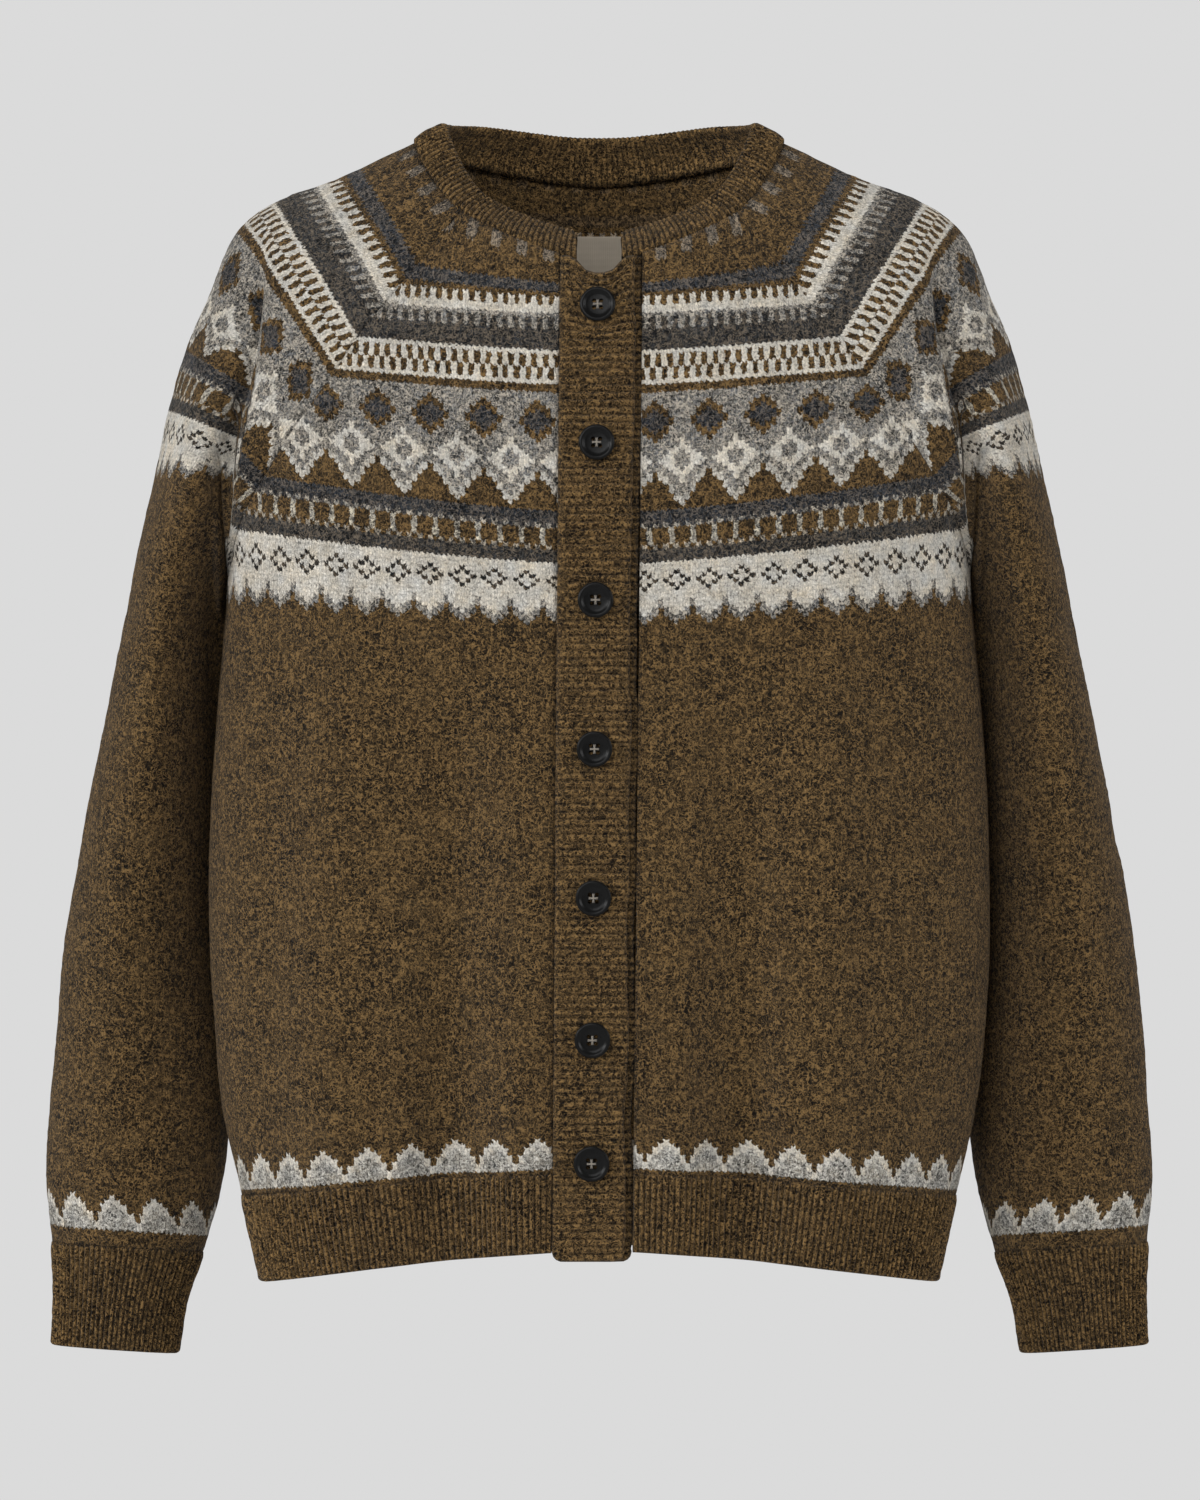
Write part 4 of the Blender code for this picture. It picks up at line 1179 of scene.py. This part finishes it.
# From the middle of the top over the rim to the middle of the back: (radius, height).
BUTTON_PROFILE = (
    (0.8, 1.75), (3.0, 1.78), (5.6, 1.85), (6.9, 2.05), (7.6, 2.6), (8.1, 3.1), (8.7, 3.36), (9.3, 3.36),
    (9.85, 3.15), (10.2, 2.7), (10.3, 2.2), (10.15, 1.5), (9.7, 0.7), (8.9, 0.15), (7.5, 0.0), (3.0, 0.0),
)
THREAD_RADIUS, THREAD_REACH, THREAD_BED = 0.2, 3.0, 1.75  # the bed is the dish, on which it lies
THREAD_LIFT, THREAD_CROSSING = 0.35, 0.26  # how far it stands up, and how much more where it crosses over
THREAD_SIDES, THREAD_STEPS = 8, 12


def button(number, z, looks, thread_looks):
    """A dished four-hole button with a raised rim, sewn on with crossed thread."""
    name = f"button_{number}"
    turns = np.linspace(0, 2 * np.pi, BUTTON_SIDES, endpoint=False)
    points = [(r * math.cos(a), r * math.sin(a), h) for r, h in BUTTON_PROFILE for a in turns]
    made = add_object(f"sewn_{name}", points, tube_faces(BUTTON_SIDES, len(BUTTON_PROFILE)), [looks])
    cutters = []
    for right, up in ((-1, -1), (-1, 1), (1, -1), (1, 1)):
        place = (right * HOLE_SPACING / 2 * MM, up * HOLE_SPACING / 2 * MM, 0)
        bpy.ops.mesh.primitive_cylinder_add(
            vertices=20, radius=HOLE_RADIUS * MM, depth=0.02, location=place
        )
        cut = made.modifiers.new("hole", "BOOLEAN")
        cut.object, cut.operation = bpy.context.object, "DIFFERENCE"
        cutters.append(cut.object)
    graph = bpy.context.evaluated_depsgraph_get()
    mesh = bpy.data.meshes.new_from_object(made.evaluated_get(graph))
    made.modifiers.clear()
    made.data = mesh
    for cutter in cutters:
        bpy.data.objects.remove(cutter, do_unlink=True)
    mesh.shade_smooth()
    mesh.set_sharp_from_angle(angle=math.radians(40))
    down = (z - BUTTON_Z[0]) / (BUTTON_Z[-1] - BUTTON_Z[0])
    x = BUTTON_X_TOP + (BUTTON_X_END - BUTTON_X_TOP) * down
    above, here, below = (face_y(x, z + step, -1) for step in (BUTTON_RADIUS, 0, -BUTTON_RADIUS))
    lean = math.atan2(above - below, 2 * BUTTON_RADIUS)
    place = (x * MM, (min(here, (above + below) / 2) - BUTTON_STAND) * MM, z * MM)
    for piece, slot in ((made, "button"), (sewn_thread(f"thread_{number}", thread_looks), "knit")):
        piece.location = place
        piece.rotation_euler = (math.pi / 2 - lean, 0, 0)
        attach(piece, ROOT)
    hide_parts(name)


def sewn_thread(name, looks):
    """Two crossed strands of thread between the holes, each of two turns side by side."""
    points, faces = [], []
    for way, crossing in (((0, 1), 0.0), ((1, 0), THREAD_CROSSING)):
        for beside in (-THREAD_RADIUS, THREAD_RADIUS):
            along, across = np.array(way), np.array([-way[1], way[0]])
            faces += [face[::-1] for face in tube_faces(THREAD_SIDES, THREAD_STEPS + 1, len(points))]
            for s in np.linspace(-1, 1, THREAD_STEPS + 1):
                middle = along * s * THREAD_REACH + across * beside * (1 + abs(s))
                height = THREAD_BED + (1 - abs(s) ** 3.0) * (THREAD_LIFT + crossing)
                height -= 0.9 * (abs(s) > 0.99)  # its ends go down into the holes
                for turn in np.linspace(0, 2 * np.pi, THREAD_SIDES, endpoint=False):
                    spot = middle + across * THREAD_RADIUS * math.cos(turn)
                    points.append((*spot, height + THREAD_RADIUS * math.sin(turn)))
    made = add_object(name, points, faces, [looks])
    made.data.shade_smooth()
    return made


LABEL_WIDTH, LABEL_TOP_Z, LABEL_HEIGHT, LABEL_WALL = 46, -42, 34, 0.48
LABEL_STAND, LABEL_BOW = 4.4, 0.7  # how far in front of the back's outside it hangs, and bows out


def neck_label(looks):
    """The blank label sewn inside the back, a little bowed between its stitches."""
    xs = np.linspace(-LABEL_WIDTH / 2, LABEL_WIDTH / 2, 47)
    zs = np.linspace(LABEL_TOP_Z, LABEL_TOP_Z - LABEL_HEIGHT, 30)
    near = np.array([[(x, face_y(x, z, 1) - LABEL_STAND, z) for x in xs] for z in zs])
    bow = np.outer(np.sin(np.linspace(0, np.pi, 30)), np.sin(np.linspace(0, np.pi, 47)) ** 0.7)
    near[..., 1] -= LABEL_BOW * bow
    places = np.stack(np.meshgrid(xs, zs), axis=-1)
    piece = add_shell("woven_label", near, near + (0, LABEL_WALL, 0), places, looks)
    return declare(piece, "neck_label", near)


# ---------------------------------------------------------------- the add-on


def size(name, description, default):
    return bpy.props.FloatProperty(
        name=name, description=description, default=default, unit="LENGTH", min=0, precision=5
    )


def yarn(name, description, default):
    return bpy.props.FloatVectorProperty(
        name=name, description=description, default=default, subtype="COLOR", min=0, max=1
    )


class CardiganSizes(bpy.types.PropertyGroup):
    """The sizes of the knitting."""

    stitch: size("Stitch", "Width of a stitch", 0.0031)
    upper_stitch: size("Upper stitch", "Width of a stitch near the neck", 0.00328)
    check_end: size("Upper rows", "How far below the neck seam the upper stitches reach", 0.0745)
    row: size("Row", "Height of a row of stitches", 0.00245)
    wall: size("Wall", "Thickness of the plain knitting", 0.0024)
    rib_wall: size("Rib wall", "Thickness of the ribbing, without its ribs", 0.0026)
    neck_wall: size("Neck wall", "Thickness of the neckband, without its ribs", 0.0032)
    rib: size("Rib", "From rib to rib on the hem and cuffs", 0.0034)
    neck_rib: size("Neck rib", "From rib to rib on the neckband", 0.0034)
    band_rib: size("Band rib", "From rib to rib on the front bands", 0.0044)
    rib_depth: size("Rib depth", "How far a rib stands out", 0.0015)
    lumps: size("Lumps", "How far broad unevenness moves the knitting", 0.0009)
    grain: size("Grain", "How far single stitches stand out", 0.00038)


class CardiganLooks(bpy.types.PropertyGroup):
    """The colours of the yarns, the trim and the floor."""

    brown: yarn("Brown", "The main yarn, a brown heather", (0.0725, 0.0452, 0.0190))
    slate: yarn("Slate", "Blue-grey yarn", (0.037, 0.042, 0.051))
    charcoal: yarn("Charcoal", "Dark grey yarn", (0.042, 0.043, 0.045))
    grey: yarn("Grey", "Mid grey yarn", (0.225, 0.22, 0.212))
    pale: yarn("Pale", "Pale grey yarn", (0.40, 0.38, 0.345))
    white: yarn("White", "Undyed yarn", (0.82, 0.765, 0.68))
    button: yarn("Button", "Black buttons", (0.005, 0.005, 0.005))
    thread: yarn("Thread", "Thread through the buttons", (0.30, 0.265, 0.22))
    label: yarn("Label", "Grey-brown satin label", (0.45, 0.385, 0.30))
    floor: yarn("Floor", "Plain pale floor", (0.75, 0.75, 0.75))


# How many stitches the diamonds and the flowers are moved on, right of the centre and left of it.
FRONT_SHIFTS = ((5.0, 1.0), (-3.0, 5.0))
BACK_SHIFTS = ((5.0, 3.0), (5.0, 3.0))
SLEEVE_SHIFTS = ((3.0, 1.0), (3.0, 1.0))
BODY_PEAK_ROW, SLEEVE_PEAK_ROW = 226.0, 251.0  # the rows of stitches on which the peaks stand
TOP_PROFILE = ((0, 1.0), (0.1, 3.2), (0.5, BAND_PROUD), (0.9, 3.6), (1, 3.4))
UNDER_PROFILE = ((0, -1.2), (0.5, -1.0), (1, -0.7))
SIDES = (("right", -1), ("left", 1))


def settings():
    """The scene's sizes and colours."""
    scene = bpy.context.scene
    return scene.cardigan_sizes, scene.cardigan_looks


class KnitBody(bpy.types.Operator):
    """Knits the two fronts and the back."""

    bl_idname = "cardigan.knit_body"
    bl_label = "Knit the fronts and back"

    def execute(self, context):
        sizes, looks = settings()
        rows = rows_between(FIRST_ROW, HEM_ROW, PLAIN_STEP)
        knitting = outside_and_inside("body_knitting", looks, sizes, BODY_PEAK_ROW, FRONT_SHIFTS)
        for name, hand in SIDES:
            plain_piece("front_" + name, rows, front_line, FRONT_COLUMNS, hand, knitting, sizes)
        knitting = outside_and_inside("back_knitting", looks, sizes, BODY_PEAK_ROW, BACK_SHIFTS)
        plain_piece("back", rows, back_line, BACK_COLUMNS, 1, knitting, sizes)
        return {"FINISHED"}


class KnitSleeves(bpy.types.Operator):
    """Knits the two raglan sleeves."""

    bl_idname = "cardigan.knit_sleeves"
    bl_label = "Knit the sleeves"

    def execute(self, context):
        sizes, looks = settings()
        knitting = outside_and_inside("sleeve_knitting", looks, sizes, SLEEVE_PEAK_ROW, SLEEVE_SHIFTS)
        yoke = rows_between(FIRST_ROW, UNDERARM_ROW, PLAIN_STEP)
        rows = yoke + rows_between(UNDERARM_ROW, CUFF_ROW, SLEEVE_STEP)[1:]
        shape = (rows, sleeve_line, SLEEVE_COLUMNS)
        for name, hand in SIDES:
            plain_piece("sleeve_" + name, *shape, hand, knitting, sizes, len(yoke) - 1)
        return {"FINISHED"}


class KnitRibs(bpy.types.Operator):
    """Knits the ribbed hem and cuffs."""

    bl_idname = "cardigan.knit_ribs"
    bl_label = "Knit the hem and cuffs"

    def execute(self, context):
        sizes, looks = settings()
        ribs = [ribbing("ribbing", looks, sizes)]
        rows = rows_to_edge(HEM_ROW, HEM_END_ROW)
        cuff_rows = rows_to_edge(CUFF_ROW, CUFF_END_ROW)
        ribbed_piece("hem_rib_back", rows, back_line, 1, ribs, sizes)
        for name, hand in SIDES:
            ribbed_piece("hem_rib_front_" + name, rows, front_line, hand, ribs, sizes)
            ribbed_piece("cuff_" + name, cuff_rows, sleeve_line, hand, ribs, sizes, 0)
        return {"FINISHED"}


class KnitNeckband(bpy.types.Operator):
    """Knits the neckband."""

    bl_idname = "cardigan.knit_neckband"
    bl_label = "Knit the neckband"

    def execute(self, context):
        sizes, looks = settings()
        outside = ribbing("ribbing", looks, sizes)
        # The neckband's inside is made brighter: painted light where the light does not reach it.
        neckband([outside, ribbing("ribbing_inside", looks, sizes, 0.5, 1.35)], sizes)
        return {"FINISHED"}


class KnitFrontBands(bpy.types.Operator):
    """Knits the buttonhole band and the band under it."""

    bl_idname = "cardigan.knit_front_bands"
    bl_label = "Knit the front bands"

    def execute(self, context):
        sizes, looks = settings()
        ribs = [ribbing("band_ribbing", looks, sizes, 0.55, 0.95)]
        # The band underneath is made darker: painted shade under the band on top.
        painted_shade_ribs = [ribbing("under_band_ribbing", looks, sizes, 0.4, 0.6)]
        band("buttonhole_band", TOP_BAND_LEFT, TOP_BAND_RIGHT, TOP_PROFILE, ribs, sizes, BAND_ROLL)
        band("button_band", UNDER_BAND_LEFT, UNDER_BAND_RIGHT, UNDER_PROFILE, painted_shade_ribs, sizes, 0.0)
        return {"FINISHED"}


class SewOnTrim(bpy.types.Operator):
    """Sews on the buttons and the blank label."""

    bl_idname = "cardigan.sew_on_trim"
    bl_label = "Sew on the buttons and label"

    def execute(self, context):
        _, looks = settings()
        black = glossy_black("black_button", looks.button)
        thread = button_thread("button_thread", looks.thread)
        for number, z in enumerate(BUTTON_Z, 1):
            button(number, z, black, thread)
        neck_label([satin("label_satin", looks.label)])
        return {"FINISHED"}


CAMERA_AWAY, CAMERA_X, CAMERA_Z = 10, 0.0005, -0.342
PIXEL, PICTURE_HEIGHT = 0.00058, 1500  # metres a pixel at the garment, and pixels
FLOOR_RADIUS, FLOOR_Z = 9.0, -1.2
WORLD_LIGHT, WORLD_SEEN = 0.16, 0.708  # how bright the surroundings are as a light and to look at
SUNS = (  # name, the side it shines from, strength, and how wide it is in degrees
    ("key", (-0.35, -1.0, 0.6), 1.35, 40),
    ("left", (-1.0, -0.5, 0.45), 1.5, 25),
    ("right", (1.0, -0.4, 0.35), 1.0, 30),
    ("back", (0.2, 1.0, 0.8), 1.2, 70),
)


class SetStage(bpy.types.Operator):
    """Sets the floor, the soft lights and the camera."""

    bl_idname = "cardigan.set_stage"
    bl_label = "Set the stage"

    def execute(self, context):
        _, looks = settings()
        scene = context.scene
        scene.view_settings.view_transform = "Standard"
        bpy.ops.mesh.primitive_circle_add(
            vertices=96, radius=FLOOR_RADIUS, fill_type="NGON", location=(0, 0, FLOOR_Z)
        )
        floor = bpy.context.object
        floor.name = "floor"
        g = Graph("floor_paper", Roughness=0.9)
        cloud = g.noise(1.2, 2.0)
        floor.data.materials.append(g.finish(g.scaled(rgba(looks.floor), 0.985 + cloud * 0.03)))
        for name, way, strength, angle in SUNS:
            lamp = bpy.data.lights.new(name, "SUN")
            lamp.energy, lamp.angle = strength, math.radians(angle)
            sun = bpy.data.objects.new(name, lamp)
            away = -np.array(way) / np.linalg.norm(way)
            sun.rotation_euler = (math.acos(-away[2]), 0, math.atan2(away[1], away[0]) - math.pi / 2)
            scene.collection.objects.link(sun)
        world = bpy.data.worlds.new("studio")
        scene.world = world
        world.use_nodes = True
        tree = world.node_tree
        shade = tree.nodes["Background"]
        seen = tree.nodes.new("ShaderNodeLightPath").outputs["Is Camera Ray"]
        level = tree.nodes.new("ShaderNodeMapRange")
        level.inputs["To Min"].default_value = WORLD_LIGHT
        level.inputs["To Max"].default_value = WORLD_SEEN
        tree.links.new(seen, level.inputs["Value"])
        tree.links.new(level.outputs["Result"], shade.inputs["Strength"])
        shade.inputs["Color"].default_value = (1, 1, 1, 1)
        lens = bpy.data.cameras.new("camera")
        lens.sensor_width = 36
        lens.lens = CAMERA_AWAY / PIXEL / PICTURE_HEIGHT * lens.sensor_width
        lens.clip_end = 60
        camera = bpy.data.objects.new("camera", lens)
        camera.location = (CAMERA_X, -CAMERA_AWAY, CAMERA_Z)
        camera.rotation_euler = (math.pi / 2, 0, 0)
        scene.collection.objects.link(camera)
        scene.camera = camera
        return {"FINISHED"}


# In the order in which they are made.
STEPS = (KnitBody, KnitSleeves, KnitRibs, KnitNeckband, KnitFrontBands, SewOnTrim, SetStage)


class CardiganPanel(bpy.types.Panel):
    """Lists the sizes and colours, and a button for each step."""

    bl_idname = "VIEW3D_PT_cardigan"
    bl_label = "Cardigan"
    bl_space_type = "VIEW_3D"
    bl_region_type = "UI"
    bl_category = "Cardigan"

    def draw(self, context):
        for group in settings():
            for name in group.bl_rna.properties.keys():
                if name not in ("rna_type", "name"):
                    self.layout.prop(group, name)
        for step in STEPS:
            self.layout.operator(step.bl_idname)


CLASSES = (CardiganSizes, CardiganLooks, *STEPS, CardiganPanel)


def register():
    for one in CLASSES:
        bpy.utils.register_class(one)
    bpy.types.Scene.cardigan_sizes = bpy.props.PointerProperty(type=CardiganSizes)
    bpy.types.Scene.cardigan_looks = bpy.props.PointerProperty(type=CardiganLooks)


def unregister():
    del bpy.types.Scene.cardigan_sizes, bpy.types.Scene.cardigan_looks
    for one in reversed(CLASSES):
        bpy.utils.unregister_class(one)


def main():
    """Makes every piece and the stage."""
    register()
    bpy.ops.cardigan.knit_body()
    bpy.ops.cardigan.knit_sleeves()
    bpy.ops.cardigan.knit_ribs()
    bpy.ops.cardigan.knit_neckband()
    bpy.ops.cardigan.knit_front_bands()
    bpy.ops.cardigan.sew_on_trim()
    bpy.ops.cardigan.set_stage()


if __name__ == "__main__":
    main()
